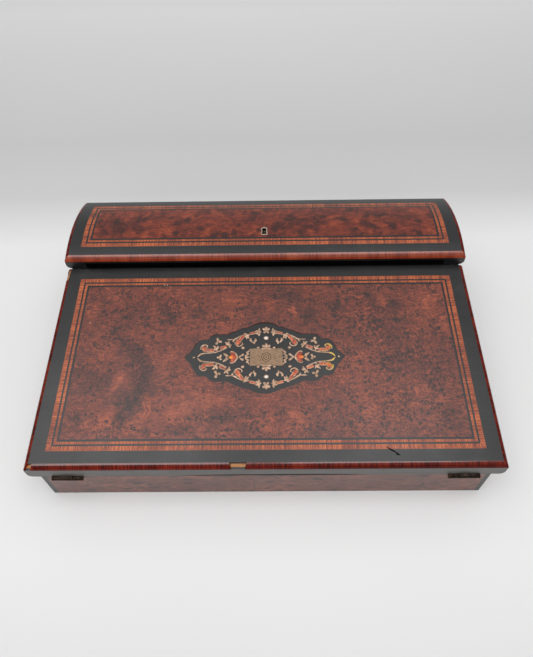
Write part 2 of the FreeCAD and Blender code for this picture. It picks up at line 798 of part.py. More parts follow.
def screw(place, direction):
    """Countersunk screw with its head at a place, pointing along a direction."""
    levels = [(screw_head, 0), (screw_shank, screw_sink), (screw_shank, screw_length)]
    rings = [ring_of(radius, screw_sides, z).Vertexes for radius, z in levels]
    corners = [[vertex.Point for vertex in ring[:screw_sides]] for ring in rings]
    faces = [face_of(corners[0]), face_of(corners[-1])]
    for lower, upper in zip(corners, corners[1:]):
        for k in range(screw_sides):
            faces.append(face_of([lower[k - 1], lower[k], upper[k], upper[k - 1]]))
    whole = Part.Solid(Part.Shell(faces))
    whole.Placement = FreeCAD.Placement(place, FreeCAD.Rotation(Vector(0, 0, 1), direction))
    return whole


def leaf_screws(level, direction):
    places = [Vector(side * screw_spread / 2, screw_setback, level) for side in (-1, 1)]
    return [screw(place, direction) for place in places]


def at_flap(shape, side):
    turned = shape.rotated(Vector(0, 0, 0), Vector(1, 0, 0), slope_degrees)
    return turned.translated(Vector(side * flap_hinge_x, flap_pin_y, flap_pin_z))


def at_lid(shape, side):
    turned = shape.rotated(Vector(0, 0, 0), Vector(0, 0, 1), 180)
    return turned.translated(Vector(side * lid_hinge_x, lid_pin_y, lid_pin_z))


up = Vector(0, 0, 1)
down = Vector(0, 0, -1)
knuckle_room = on_axis(bore, knuckle_radius + knuckle_gap, -half_leaf - knuckle_gap, half_leaf + knuckle_gap)
swing = math.hypot(flap_drop + leaf_wall, neck_half) + knuckle_gap
swing_room = on_axis(bore, swing, -half_middle - knuckle_gap, half_middle + knuckle_gap)
case_seat = flap_drop - seam * lean
flap_case_plate = (case_seat - leaf_wall, case_seat)
flap_plate = (flap_drop, flap_drop + leaf_wall)
lid_case_plate = (-seam / 2 - leaf_wall, -seam / 2)
lid_plate = (seam / 2, seam / 2 + leaf_wall)
groups = {name: [] for name in (
    "flap_hinge_case_leaves", "flap_hinge_flap_leaves", "lid_hinge_case_leaves", "lid_hinge_lid_leaves",
    "hinge_pins", "case_screws", "flap_screws", "lid_screws")}
front_cuts = []
flap_cuts = []
back_cuts = []
rail_cuts = []
for side in (-1, 1):
    for seat, low_plate, high_plate, case_name, moving_name, case_cuts, moving_cuts, moving_screws in (
            (at_flap, flap_case_plate, flap_plate, "flap_hinge_case_leaves", "flap_hinge_flap_leaves",
             front_cuts, flap_cuts, "flap_screws"),
            (at_lid, lid_case_plate, lid_plate, "lid_hinge_case_leaves", "lid_hinge_lid_leaves",
             back_cuts, rail_cuts, "lid_screws")):
        fixed = leaf(low_plate[0], low_plate[1], outers, middle)
        moving = leaf(high_plate[0], high_plate[1], middle, outers)
        fixed_screws = leaf_screws(low_plate[1], down)
        moving_leaf_screws = leaf_screws(high_plate[0], up)
        fixed = fixed.cut(fixed_screws)
        moving = moving.cut(moving_leaf_screws)
        groups[case_name].append(seat(fixed, side))
        groups[moving_name].append(seat(moving, side))
        groups["hinge_pins"].append(seat(on_axis(rod, pin_radius, -half_leaf, half_leaf), side))
        groups["case_screws"] += [seat(piece, side) for piece in fixed_screws]
        groups[moving_screws] += [seat(piece, side) for piece in moving_leaf_screws]
        case_cuts += [seat(shape, side) for shape in [plate(*low_plate), knuckle_room]]
        case_cuts += [seat(piece, side) for piece in fixed_screws]
        moving_cuts += [seat(shape, side) for shape in [plate(*high_plate), knuckle_room]]
        moving_cuts += [seat(piece, side) for piece in moving_leaf_screws]
    front_cuts.append(at_flap(swing_room, side))

# Screws of the keeper and the lock
backwards = Vector(0, -1, 0)
for side in (-1, 1):
    place = Vector(
        side * screw_spread / 2, room_front_y + keeper_wall, case_top - keeper_tail / 2)
    piece = screw(place, backwards)
    groups["case_screws"].append(piece)
    keeper = keeper.cut(piece)
    parts["divider"] = parts["divider"].cut(piece)
    place = Vector(side * (lock_half - screw_head - screw_sink), lock_y + lock_run / 2, lock_z)
    piece = screw(place, up)
    groups["lid_screws"].append(piece)
    lock_case = lock_case.cut(piece)
    lid_top = lid_top.cut(piece)

parts["keeper"] = keeper
parts["lock_case"] = lock_case
parts["lid_top"] = lid_top
parts["front_board"] = front_board.cut(front_cuts)
parts["front_veneer"] = front_veneer.cut(front_cuts)
parts["flap_board"] = flap_board.cut(flap_cuts)
parts["back_board"] = back_board.cut(back_cuts)
parts["lid_back_rail"] = lid_back_rail.cut(rail_cuts)
for name, shapes in groups.items():
    parts[name] = Part.makeCompound(shapes)

os.makedirs("parts", exist_ok=True)
for name, shape in parts.items():
    shape.exportStep(os.path.join("parts", name + ".step"))
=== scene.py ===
import functools
import json
import math

import bmesh
import bpy
from mathutils import Matrix, Vector


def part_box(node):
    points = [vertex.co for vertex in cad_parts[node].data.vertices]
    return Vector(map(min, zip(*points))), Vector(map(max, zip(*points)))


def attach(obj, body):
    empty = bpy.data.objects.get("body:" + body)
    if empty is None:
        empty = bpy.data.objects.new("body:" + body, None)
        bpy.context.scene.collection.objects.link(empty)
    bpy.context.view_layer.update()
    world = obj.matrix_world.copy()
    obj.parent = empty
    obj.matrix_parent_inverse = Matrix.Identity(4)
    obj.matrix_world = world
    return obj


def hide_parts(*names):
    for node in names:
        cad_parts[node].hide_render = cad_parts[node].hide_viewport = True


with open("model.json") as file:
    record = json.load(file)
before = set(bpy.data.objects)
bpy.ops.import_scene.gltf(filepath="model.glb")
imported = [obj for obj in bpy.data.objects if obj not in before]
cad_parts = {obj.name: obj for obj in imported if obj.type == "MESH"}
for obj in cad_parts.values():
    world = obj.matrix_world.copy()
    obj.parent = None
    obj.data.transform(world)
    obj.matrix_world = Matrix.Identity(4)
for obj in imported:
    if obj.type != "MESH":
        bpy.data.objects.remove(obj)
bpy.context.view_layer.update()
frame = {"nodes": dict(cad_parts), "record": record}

# Looks of a table-top writing slope, in metres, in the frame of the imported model

nodes = frame["nodes"]
MM = 0.001

# Camera of the photograph
PICTURE_HEIGHT = 657
FOCAL_PIXELS = 513.0
CAMERA_PLACE = (0.0071, -0.31675, 0.435)
CAMERA_PITCH = math.radians(50.44)
CAMERA_YAW = math.radians(1.01)
CAMERA_ROLL = math.radians(-1.32)
SENSOR = 36.0

# Studio. The floor's colour has a painted brightness at each Y: painted light lifts the shadow in front of
# the case, and a darker band further back is painted shade of the backdrop. A lamp overhead has its middle
# and its width in X.
FLOOR_SIZE = 40.0
FLOOR_DROP = 0.0002
FLOOR_PAINTED_LEVELS = (
    (-0.5, 0.75), (-0.28, 0.77), (-0.16, 0.92), (0.15, 0.94), (0.22, 0.94), (0.32, 0.71), (0.46, 0.68),
    (0.70, 0.80), (1, 0.95))
LAMPS = {"left_lamp": (-0.57, 0.88), "right_lamp": (0.40, 0.70)}
LAMP_Y = -0.3
LAMP_HEIGHT = 1.5
LAMP_DEPTH = 1.3
LAMP_RADIANCE = 1.42
FILL_PLACE = (0, -1.9, 1.3)
FILL_SIZE = (2.4, 1.2)
FILL_RADIANCE = 1.25
WORLD_DIFFUSE = 0.54
WORLD_FRONT = 0.08
WORLD_BACK = 0.5

# Node tree helpers. Most find their tree from the sockets that they are given.
VECTOR_MATH = "ShaderNodeVectorMath"
VORONOI = "ShaderNodeTexVoronoi"
TO_EDGE = {"feature": "DISTANCE_TO_EDGE"}
HALF = (0.5, 0.5, 0.5)
MIX_SOCKETS = {"FLOAT": (2, 3, 0), "RGBA": (6, 7, 2)}


def tree_of(*values):
    return next(value.id_data for value in values if isinstance(value, bpy.types.NodeSocket))


def feed(socket, value):
    if isinstance(value, bpy.types.NodeSocket):
        socket.id_data.links.new(value, socket)
    else:
        socket.default_value = value


def set_up(thing, **settings):
    """Sets properties, and gives the thing back."""
    for key, value in settings.items():
        setattr(thing, key, value)
    return thing


def fill_in(node, **feeds):
    """Feeds inputs, named with underscores for spaces, and gives the outputs."""
    for name, value in feeds.items():
        feed(node.inputs[name.replace("_", " ")], value)
    return node.outputs


def put(kind, settings=None, **feeds):
    """Adds a node to the tree of the sockets that feed it, and gives its outputs."""
    node = tree_of(*feeds.values()).nodes.new(kind)
    return fill_in(set_up(node, **(settings or {})), **feeds)


def calc(operation, *values, kind="ShaderNodeMath", **settings):
    node = set_up(tree_of(*values).nodes.new(kind), operation=operation, **settings)
    for socket, value in zip(node.inputs, values):
        feed(socket, value)
    return node.outputs[0]


plus = functools.partial(calc, "ADD")
minus = functools.partial(calc, "SUBTRACT")
times = functools.partial(calc, "MULTIPLY")
over = functools.partial(calc, "DIVIDE")
vector_calc = functools.partial(calc, kind=VECTOR_MATH)


def scaled(vector, factor):
    return put(VECTOR_MATH, {"operation": "SCALE"}, Vector=vector, Scale=factor)["Vector"]


def grade(value, low, high, start=0, end=1, curve="SMOOTHSTEP"):
    return put(
        "ShaderNodeMapRange", {"interpolation_type": curve}, Value=value, From_Min=low, From_Max=high,
        To_Min=start, To_Max=end)["Result"]


def mixed(factor, first, second, kind="RGBA"):
    """Blend of two colours, or of two numbers where the kind is FLOAT."""
    node = set_up(tree_of(factor, first, second).nodes.new("ShaderNodeMix"), data_type=kind)
    start, end, result = MIX_SOCKETS[kind]
    for socket, value in ((0, factor), (start, first), (end, second)):
        feed(node.inputs[socket], value)
    return node.outputs[result]


def ramp(value, positions, colours):
    blend = put("ShaderNodeValToRGB", Fac=value)["Color"]
    elements = blend.node.color_ramp.elements
    while len(elements) < len(positions):
        elements.new(0.5)
    for element, position, colour in zip(elements, positions, colours):
        element.position = position
        element.color = colour
    return blend


def noise(vector, scale, detail=2, roughness=0.5, distortion=0, output="Fac"):
    return put(
        "ShaderNodeTexNoise", Vector=vector, Scale=scale, Detail=detail, Roughness=roughness,
        Distortion=distortion)[output]


def wander(vector, scale, reach, detail=2, roughness=0.5):
    """A random shift at each place, up to half the reach each way."""
    colour = noise(vector, scale, detail, roughness, output="Color")
    return scaled(vector_calc("SUBTRACT", colour, HALF), reach)


def parts_of(vector):
    return put("ShaderNodeSeparateXYZ", Vector=vector)


def joined(x, y, z):
    return put("ShaderNodeCombineXYZ", X=x, Y=y, Z=z)["Vector"]


def bump(height, strength, distance):
    return put("ShaderNodeBump", Height=height, Strength=strength, Distance=distance)["Normal"]


def tint(red, green, blue):
    """Linear colour of a screen colour from 0 to 255."""
    def linear(level):
        level = level / 255
        return level / 12.92 if level <= 0.04045 else ((level + 0.055) / 1.055) ** 2.4
    return (linear(red), linear(green), linear(blue), 1)


def group_of(name, outputs, **inputs):
    """A node group with a place and the named numbers as inputs, and numbers as outputs."""
    tree = bpy.data.node_groups.new(name, "ShaderNodeTree")
    add_socket = tree.interface.new_socket
    add_socket("Place", in_out="INPUT", socket_type="NodeSocketVector")
    for key, value in inputs.items():
        socket = add_socket(key.replace("_", " "), in_out="INPUT", socket_type="NodeSocketFloat")
        socket.default_value = value
    for key in outputs:
        add_socket(key, in_out="OUTPUT", socket_type="NodeSocketFloat")
    return tree, tree.nodes.new("NodeGroupInput").outputs, tree.nodes.new("NodeGroupOutput").inputs


def use(group, **feeds):
    return put("ShaderNodeGroup", {"node_tree": group}, **feeds)


def new_finish(name):
    """A material, and object coordinates in millimetres, the unit of every pattern below."""
    material = set_up(bpy.data.materials.new(name), use_nodes=True)
    place = material.node_tree.nodes.new("ShaderNodeTexCoord").outputs["Object"]
    return material, scaled(place, 1 / MM)


def finished(material, **feeds):
    fill_in(material.node_tree.nodes["Principled BSDF"], **feeds)
    return material


# Shared effects
SIDE_STRIPS_APART = 700.0


def make_burl_figure():
    """Burl: lines that flow and close into loops, a lace of pale threads round dark eyes, and mottling."""
    tree, given, out = group_of(
        "burl_figure", ("Tone", "Eyes"), Swirl=16, Loop_Size=17, Loop_Count=15, Eye_Spacing=3.6,
        Eye_Share=0.5, Cloud_Size=48, Mottle_Size=4.5, Crowd=0.3, Lace=1)
    place = given["Place"]
    drift = wander(place, 0.033, given["Swirl"])
    ripple = wander(place, 0.12, times(given["Swirl"], 0.22))
    flow = vector_calc("ADD", vector_calc("ADD", place, drift), ripple)
    patches = noise(place, 0.052, 3, 0.6)
    crowd = times(given["Crowd"], grade(patches, 0.34, 0.60, 0.35, 1.25))

    field = noise(flow, over(1, given["Loop Size"]), 1.5)
    turns = times(times(field, given["Loop Count"]), 2 * math.pi)
    patchy = grade(noise(place, 0.06), 0.36, 0.62, 0.25, 1)
    loops = times(calc("SINE", turns), patchy)
    loops = times(loops, calc("MULTIPLY_ADD", crowd, -0.6, 1))
    drawn_out = vector_calc("MULTIPLY", flow, (0.07, 0.5, 1))
    streaks = minus(noise(drawn_out, 1, 3, 0.6), 0.5)

    eye_place = vector_calc("ADD", place, wander(place, 0.24, 5))
    eye_scale = over(1, given["Eye Spacing"])
    spots = {"Vector": eye_place, "Scale": eye_scale, "Randomness": 1.0}
    cells = put(VORONOI, **spots)
    chance = parts_of(cells["Color"])["X"]
    cluster = grade(noise(place, 0.085), 0.44, 0.60, 0.25, 1.6)
    share = times(given["Eye Share"], calc("MULTIPLY_ADD", crowd, 1.1, 0.1))
    picked = grade(minus(times(share, cluster), chance), 0, 0.15)
    eyes = times(picked, grade(cells["Distance"], 0.44, 0.24))
    halo = times(picked, grade(cells["Distance"], 0.8, 0.35))

    edges = put(VORONOI, TO_EDGE, **spots)["Distance"]
    rim = grade(edges, 0.2, 0.02, 0, 0.7)
    thread = noise(eye_place, times(eye_scale, 0.62), 2, 0.55, 0.6)
    thread = grade(calc("ABSOLUTE", minus(thread, 0.5)), 0.075, 0.005)
    lace = times(calc("MAXIMUM", rim, thread), times(crowd, given["Lace"]))

    clouds = noise(flow, over(1, given["Cloud Size"]), 4, 0.55)
    mottle = noise(flow, over(1, given["Mottle Size"]), 3, 0.6, 0.5)
    weights = (
        (clouds, 0.5, -0.25), (mottle, 0.55, -0.275), (loops, 0.15, 0.52), (streaks, 0.8, 0),
        (halo, -0.2, 0), (lace, 0.36, 0), (crowd, -0.15, 0))
    tone = 0.0
    for part, weight, shift in weights:
        tone = plus(tone, calc("MULTIPLY_ADD", part, weight, shift))
    feed(out["Tone"], tone)
    feed(out["Eyes"], eyes)
    return tree


def make_band_run():
    """Length along a mitred frame of bands, X on the front and back strips and Y on the side strips, and the
    distance from the frame's outer edge."""
    tree, given, out = group_of("band_run", ("Along", "Across"), Half_Width=180, Front=-130, Back=40)
    x, y, z = parts_of(given["Place"])
    side_gap = minus(given["Half Width"], calc("ABSOLUTE", x))
    end_gap = calc("MINIMUM", minus(y, given["Front"]), minus(given["Back"], y))
    side_run = plus(y, times(calc("SIGN", x), SIDE_STRIPS_APART))
    feed(out["Along"], mixed(calc("LESS_THAN", side_gap, end_gap), x, side_run, "FLOAT"))
    feed(out["Across"], calc("MINIMUM", side_gap, end_gap))
    return tree


def make_straight_grain():
    """Long streaks and short pores that run along X."""
    tree, given, out = group_of("straight_grain", ("Streaks", "Pores"), Length=60, Width=2.5)
    place = given["Place"]
    x, y, z = parts_of(place)
    shift = times(noise(place, 0.03), 6)
    drawn_out = joined(
        over(x, given["Length"]), over(plus(y, shift), given["Width"]), over(z, given["Width"]))
    feed(out["Streaks"], noise(drawn_out, 1, 4, 0.6))
    fine = vector_calc("DIVIDE", place, (6, 0.45, 0.45))
    feed(out["Pores"], grade(noise(fine, 1), 0.60, 0.72))
    return tree


def make_polish_wear():
    """Uneven old polish: roughness patches and tiny pits."""
    tree, given, out = group_of("polish_wear", ("Roughness", "Height"), Low=0.28, High=0.42)
    patches = noise(given["Place"], 0.03, 5, 0.65)
    feed(out["Roughness"], grade(patches, 0.3, 0.7, given["Low"], given["High"], "LINEAR"))
    feed(out["Height"], noise(given["Place"], 0.55, 3, 0.6))
    return tree


burl_figure = make_burl_figure()
band_run = make_band_run()
straight_grain = make_straight_grain()
polish_wear = make_polish_wear()


# Finishes
POLISH_SPECULAR = 0.8
LID_SPECULAR = 0.6
BEAD_SPECULAR = 0.1
DULL_SPECULAR = 0.06
POLISH_DEPTH = 0.2 * MM
GLOSS_IOR = 1.98
GLOSS_BLEND = 0.4
GLASS_IOR = 1.52
BASE_CROWD = 0.22
STROKE_DEPTH = 1000.0
RIM_BLEND = 0.6
INNER = "inner"
TOOLED_LINES = ((6, 0.55), (8.6, 0.3), (9.8, 0.3))
PANEL_SHIFT = Vector((0, -0.7 * MM, 0))
PATTERN_SHIFT = Vector((1.5 * MM, 0.2 * MM, 0))
BURL_STOPS = (0.14, 0.40, 0.62, 0.90)
CASE_STOPS = (0.14, 0.42, 0.66, 0.9)
BAND_STOPS = (0.56, 0.78, 0.86, 1)
WOOD_STOPS = (0.32, 0.68)
EVEN_STOPS = (0.35, 0.65)
CASE_STRETCH = (2.4, 2.4, 1)
BLACK_GRAIN = {"Length": 90, "Width": 1.6}
BLACK = (tint(9, 9, 10), tint(24, 24, 25))
CASE_WOOD = (tint(74, 38, 24), tint(122, 70, 44))


def centre(node):
    low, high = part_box(node)
    return (low + high) / 2


def polished(material, place, colour, low, high, strength=0.05, specular=POLISH_SPECULAR):
    wear = use(polish_wear, Place=place, Low=low, High=high)
    return finished(
        material, Base_Color=colour, Roughness=wear["Roughness"], Specular_IOR_Level=specular,
        Normal=bump(wear["Height"], strength, POLISH_DEPTH))


def soft_strokes(place, strokes):
    """Sum of soft ragged bands, each a row of points in X and Y, a half width and a strength."""
    ragged = vector_calc("ADD", place, wander(place, 0.07, 22, 3, 0.6))
    ragged = vector_calc("ADD", ragged, wander(place, 0.3, 4))
    total = 0.0
    for points, reach, strength in strokes:
        for first, second in zip(points, points[1:]):
            run = Vector(second) - Vector(first)
            middle = (Vector(second) + Vector(first)) / 2
            spot = put(
                "ShaderNodeMapping", {"vector_type": "TEXTURE"}, Vector=ragged,
                Location=(middle.x, middle.y, 0), Rotation=(0, 0, math.atan2(run.y, run.x)),
                Scale=(run.length / 2 + reach, reach, STROKE_DEPTH))["Vector"]
            soft = put("ShaderNodeTexGradient", {"gradient_type": "SPHERICAL"}, Vector=spot)["Fac"]
            total = plus(total, times(soft, strength))
    return total


def burl_finish(name, colours, eye, clouds, crowds, specular, **figure):
    material, place = new_finish(name)
    crowd = plus(soft_strokes(place, crowds), BASE_CROWD, use_clamp=True)
    burl = use(burl_figure, Place=place, Crowd=crowd, **figure)
    tone = plus(burl["Tone"], soft_strokes(place, clouds))
    colour = mixed(times(burl["Eyes"], 0.85), ramp(tone, BURL_STOPS, colours), eye)
    return polished(material, place, colour, 0.30, 0.40, specular=specular)


def figured_case_finish():
    """Veneer of the case, the same burl drawn out along the length of the board."""
    material, place = new_finish("case_veneer")
    burl = use(
        burl_figure, Place=vector_calc("DIVIDE", place, CASE_STRETCH), Swirl=9, Loop_Size=14,
        Loop_Count=8, Eye_Spacing=4.5, Eye_Share=0.5, Cloud_Size=16, Crowd=0.4)
    colours = (tint(46, 28, 25), tint(86, 51, 43), tint(116, 68, 56), tint(146, 88, 69))
    colour = mixed(burl["Eyes"], ramp(burl["Tone"], CASE_STOPS, colours), tint(40, 24, 22))
    return polished(material, place, colour, 0.26, 0.36)


def ebonised_finish(name, colours=BLACK, smudges=0.5, specular=POLISH_SPECULAR):
    material, place = new_finish(name)
    streaks = use(straight_grain, Place=place, **BLACK_GRAIN)["Streaks"]
    smudge = grade(noise(place, 0.035, 5, 0.7), 0.52, 0.75, 0, smudges)
    colour = mixed(smudge, ramp(streaks, EVEN_STOPS, colours), tint(48, 49, 51))
    return polished(material, place, colour, 0.26, 0.34, specular=specular)


def band_place(place, box):
    low, high = box
    return use(band_run, Place=place, Half_Width=high.x / MM, Front=low.y / MM, Back=high.y / MM)


def crossband_finish(name, colours, box, block, low, high, specular=POLISH_SPECULAR, gloss=None):
    """Strips of wood laid with the grain across the band. The gloss of a bead has the height where it starts
    and its roughness, then the X where painted shade on the wood below the gloss begins, the X where that
    shade is deepest and how deep it is."""
    material, place = new_finish(name)
    along, across = band_place(place, box)
    fine = noise(joined(times(along, 1.25), times(across, 0.10), 0), 1, 3, 0.7)
    cells = put(VORONOI, {"voronoi_dimensions": "1D"}, W=over(along, block), Scale=1)
    block_tone = parts_of(cells["Color"])["X"]
    slow = noise(joined(times(along, 0.06), 0, 0), 1, 3)
    tone = plus(times(fine, 1.05), times(block_tone, 0.09))
    tone = plus(tone, calc("MULTIPLY_ADD", slow, 0.35, 0.065))
    colour = ramp(tone, BAND_STOPS, colours)
    if gloss:
        height, roughness, start, full, shade = gloss
        x, y, z = parts_of(place)
        upper = grade(z, height - GLOSS_BLEND, height + GLOSS_BLEND)
        # Painted shade: below the gloss the bead is darkened towards black, more towards the right.
        dark = times(minus(1, upper), grade(x, start, full, 0, shade))
        colour = mixed(dark, colour, tint(0, 0, 0))
        finished(material, Coat_Weight=upper, Coat_Roughness=roughness, Coat_IOR=GLOSS_IOR)
    return polished(material, place, colour, low, high, specular=specular)


def bead_finish(name, colours, box, gloss=None):
    return crossband_finish(name, colours, box, 11, 0.2, 0.3, BEAD_SPECULAR, gloss)


def board_finish(name, colours, turned=False, black_above=None):
    """Plain wood, with its grain along X, or along Y on the sides. Its upper edge can be blacked."""
    material, place = new_finish(name)
    x, y, z = parts_of(place)
    grain = use(straight_grain, Place=joined(y, x, z) if turned else place, Length=110, Width=3.5)
    colour = mixed(grain["Pores"], ramp(grain["Streaks"], WOOD_STOPS, colours), tint(48, 26, 18))
    if black_above is not None:
        colour = mixed(grade(z, black_above, black_above + RIM_BLEND), colour, tint(14, 13, 13))
    return polished(material, place, colour, 0.38, 0.52, 0.1)


def panel_finish():
    """Edges of the panels: black, a lighter grey along the front that is partly wear and partly a painted
    reflection of the pale floor, and plain wood on faces marked as inner.
    """
    material, place = new_finish("panel_core")
    streaks = use(straight_grain, Place=place, **BLACK_GRAIN)["Streaks"]
    black = ramp(streaks, EVEN_STOPS, BLACK)
    # Painted reflection: the lighter grey along the front edge is partly wear and partly the floor's
    # reflection.
    worn_and_reflected_grey = ramp(streaks, EVEN_STOPS, (tint(62, 60, 58), tint(86, 84, 81)))
    wood = ramp(streaks, WOOD_STOPS, (tint(66, 32, 22), tint(108, 58, 38)))
    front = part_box("flap_board")[0].y / MM
    edge = grade(parts_of(place)["Y"], front + 0.6, front + 0.2)
    marks = set_up(material.node_tree.nodes.new("ShaderNodeAttribute"), attribute_name=INNER)
    colour = mixed(marks.outputs["Fac"], mixed(edge, black, worn_and_reflected_grey), wood)
    return polished(material, place, colour, 0.30, 0.40)


def brass_finish(name, bright, dull, low, high, metallic=1, engraved=0, glint=None):
    """Old brass. It can be engraved with dark flecks, and from one X to another given a gold patch that is
    partly gilding and partly a painted glint.
    """
    material, place = new_finish(name)
    colour = ramp(noise(place, 0.22, 5, 0.65), EVEN_STOPS, (dull, bright))
    if engraved:
        flecks = grade(noise(place, 0.75), 0.52, 0.66, 0, engraved)
        colour = mixed(flecks, colour, tint(104, 86, 74))
    if glint:
        # Painted glint: gold patches towards one end, partly gilding and partly a painted highlight.
        start, full, gold = glint
        patch = grade(noise(place, 0.25), 0.38, 0.56)
        colour = mixed(times(grade(parts_of(place)["X"], start, full), patch), colour, gold)
    finished(material, Metallic=metallic)
    return polished(material, place, colour, low, high, 0.08)


def engraved_finish():
    """Brass of the plaque: fine engraved waves and a rosette of plain rings in the middle."""
    material, place = new_finish("engraved_brass")
    middle = (centre("cartouche_plaque") + PANEL_SHIFT + PATTERN_SHIFT) / MM
    x, y, z = parts_of(vector_calc("SUBTRACT", place, tuple(middle)))
    reach = calc("SQRT", plus(times(x, x), times(y, y)))
    rings = calc("SINE", times(reach, 3.4))
    scallop = times(calc("SINE", times(calc("ARCTAN2", y, x), 8)), 0.25)
    inside = grade(plus(reach, scallop), 4.8, 4.5)
    sway = times(calc("SINE", times(x, 0.9)), 0.55)
    waves = calc("SINE", times(plus(y, sway), 3.9))
    groove = grade(mixed(inside, times(waves, 0.6), rings, "FLOAT"), 0.2, 0.9)
    tarnish = noise(place, 0.3, 5, 0.65)
    metal = ramp(tarnish, EVEN_STOPS, (tint(152, 126, 103), tint(190, 158, 131)))
    return finished(
        material, Base_Color=mixed(groove, metal, tint(74, 62, 53)), Metallic=1,
        Roughness=grade(tarnish, 0.3, 0.7, 0.40, 0.54), Normal=bump(minus(1, groove), 0.4, 0.1 * MM))


def clouded_finish(name, scale, distortion, stops, colours, low, high):
    """Horn or pearl, with soft clouds of three colours."""
    material, place = new_finish(name)
    cloud = noise(place, scale, 3, 0.6, distortion)
    return polished(material, place, ramp(cloud, stops, colours), low, high)


def horn_finish(name, *colours):
    return clouded_finish(name, 0.35, 0, (0.34, 0.50, 0.66), colours, 0.28, 0.38)


def leather_finish():
    material, place = new_finish("writing_leather")
    grain = grade(put(VORONOI, TO_EDGE, Vector=place, Scale=1.1)["Distance"], 0, 0.25)
    colour = ramp(noise(place, 0.02, 4, 0.6), (0.32, 0.66), (tint(42, 56, 40), tint(60, 75, 52)))
    across = band_place(place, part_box("flap_leather"))["Across"]
    rubbed = grade(noise(place, 0.35, 3, 0.6), 0.36, 0.52)
    pressed = 0.0
    for setback, reach in TOOLED_LINES:
        gap = calc("ABSOLUTE", minus(across, setback))
        pressed = calc("MAXIMUM", pressed, grade(gap, reach, reach * 0.6))
    gilt = times(pressed, rubbed)
    height = minus(times(grain, 0.5), pressed)
    return finished(
        material, Base_Color=mixed(gilt, colour, tint(176, 138, 74)),
        Roughness=grade(gilt, 0, 1, 0.55, 0.35), Normal=bump(height, 0.35, 0.3 * MM))


def baize_finish():
    material, place = new_finish("green_baize")
    fuzz = noise(place, 1.4, 4, 0.7)
    tone = plus(times(fuzz, 0.5), times(noise(place, 0.015, 3), 0.5))
    return finished(
        material, Base_Color=ramp(tone, (0.36, 0.62), (tint(38, 58, 40), tint(66, 88, 60))),
        Roughness=0.95, Sheen_Weight=0.4, Normal=bump(fuzz, 0.6, 0.4 * MM))


def glass_finish():
    material, place = new_finish("cut_glass")
    smear = noise(place, 0.12, 4, 0.6)
    return finished(
        material, Base_Color=ramp(smear, (0.4, 0.6), (tint(226, 238, 236), tint(242, 248, 247))),
        Roughness=grade(smear, 0.3, 0.7, 0, 0.06), Transmission_Weight=1, IOR=GLASS_IOR)


# Clouds of the burl, dark ones below zero, and the places where its eyes crowd, in millimetres
FLAP_CLOUDS = [
    ([(-130, -30), (-112, -40), (-105, -56), (-105, -72), (-112, -86), (-124, -104)], 12, -0.24),
    ([(-124, 4), (-134, -16)], 11, -0.2), ([(-140, -60), (-156, -78)], 12, -0.16),
    ([(-150, -96), (-164, -108)], 9, -0.2), ([(-93, 6), (-84, -8)], 9, -0.24),
    ([(-70, 2), (-56, -4)], 8, -0.14), ([(-84, -112), (-60, -112)], 7, -0.2),
    ([(-42, -102), (-30, -100)], 8, -0.26), ([(-22, -112), (-8, -112)], 6, -0.14),
    ([(34, -112), (50, -110)], 8, -0.22), ([(16, 20), (34, 16)], 12, -0.24), ([(46, 2), (34, -10)], 8, -0.26),
    ([(60, 14), (72, 6)], 9, -0.12), ([(96, 24), (98, 10)], 8, -0.2), ([(122, 12), (118, -2)], 8, -0.2),
    ([(100, -30), (140, -60)], 34, -0.1), ([(-150, 26), (-140, 12)], 10, 0.22),
    ([(-162, 12), (-164, -6)], 7, 0.16), ([(-124, -60), (-131, -78)], 6, 0.3),
    ([(-126, -94), (-140, -108)], 7, 0.34), ([(-100, -88), (-112, -110)], 9, 0.18),
    ([(-92, -100), (-60, -92)], 10, 0.16), ([(-60, -80), (-30, -86)], 9, 0.14),
    ([(-96, -40), (-74, -44)], 9, 0.12), ([(28, 6), (29, -2)], 5, 0.3), ([(0, 14), (8, 8)], 8, 0.2),
    ([(-44, 18), (-20, 14)], 9, 0.14), ([(109, 14), (111, 8)], 6, 0.24), ([(150, 20), (154, 0)], 10, 0.14),
    ([(134, 8), (136, 2)], 7, 0.12), ([(24, -96), (32, -106)], 7, 0.24), ([(78, -48), (92, -45)], 4, 0.28),
    ([(84, -84), (88, -100)], 9, 0.14)]
FLAP_CROWDS = [
    ([(84, -40), (150, -60)], 62, 0.95), ([(40, -104), (140, -100)], 30, 0.5),
    ([(60, 10), (110, -4)], 28, 0.6), ([(-100, 16), (-70, 0)], 26, 0.7), ([(-40, -4), (-16, 4)], 18, 0.5),
    ([(-60, -104), (20, -104)], 20, 0.6), ([(-140, -20), (-120, 0)], 20, 0.4),
    ([(-160, -104), (-130, -110)], 16, 0.3)]
LID_CLOUDS = [
    ([(-156, 92), (-130, 96)], 22, -0.18), ([(-96, 104), (-84, 96)], 14, -0.12),
    ([(34, 98), (48, 96)], 14, -0.16), ([(-52, 84), (-30, 84)], 12, 0.14), ([(60, 88), (80, 92)], 12, 0.14),
    ([(-130, 78), (-112, 78)], 9, 0.16), ([(118, 100), (142, 100)], 18, -0.12)]
LID_CROWDS = [
    ([(-60, 92), (80, 92)], 46, 0.8), ([(110, 90), (150, 90)], 26, 0.5), ([(-150, 84), (-110, 84)], 22, 0.3)]
flap_burl = burl_finish(
    "flap_burl", (tint(44, 21, 17), tint(88, 39, 29), tint(129, 58, 39), tint(176, 87, 54)),
    tint(38, 23, 21), FLAP_CLOUDS, FLAP_CROWDS, POLISH_SPECULAR, Swirl=18, Loop_Size=18, Loop_Count=21,
    Eye_Spacing=3.1, Eye_Share=0.7, Mottle_Size=3.6)
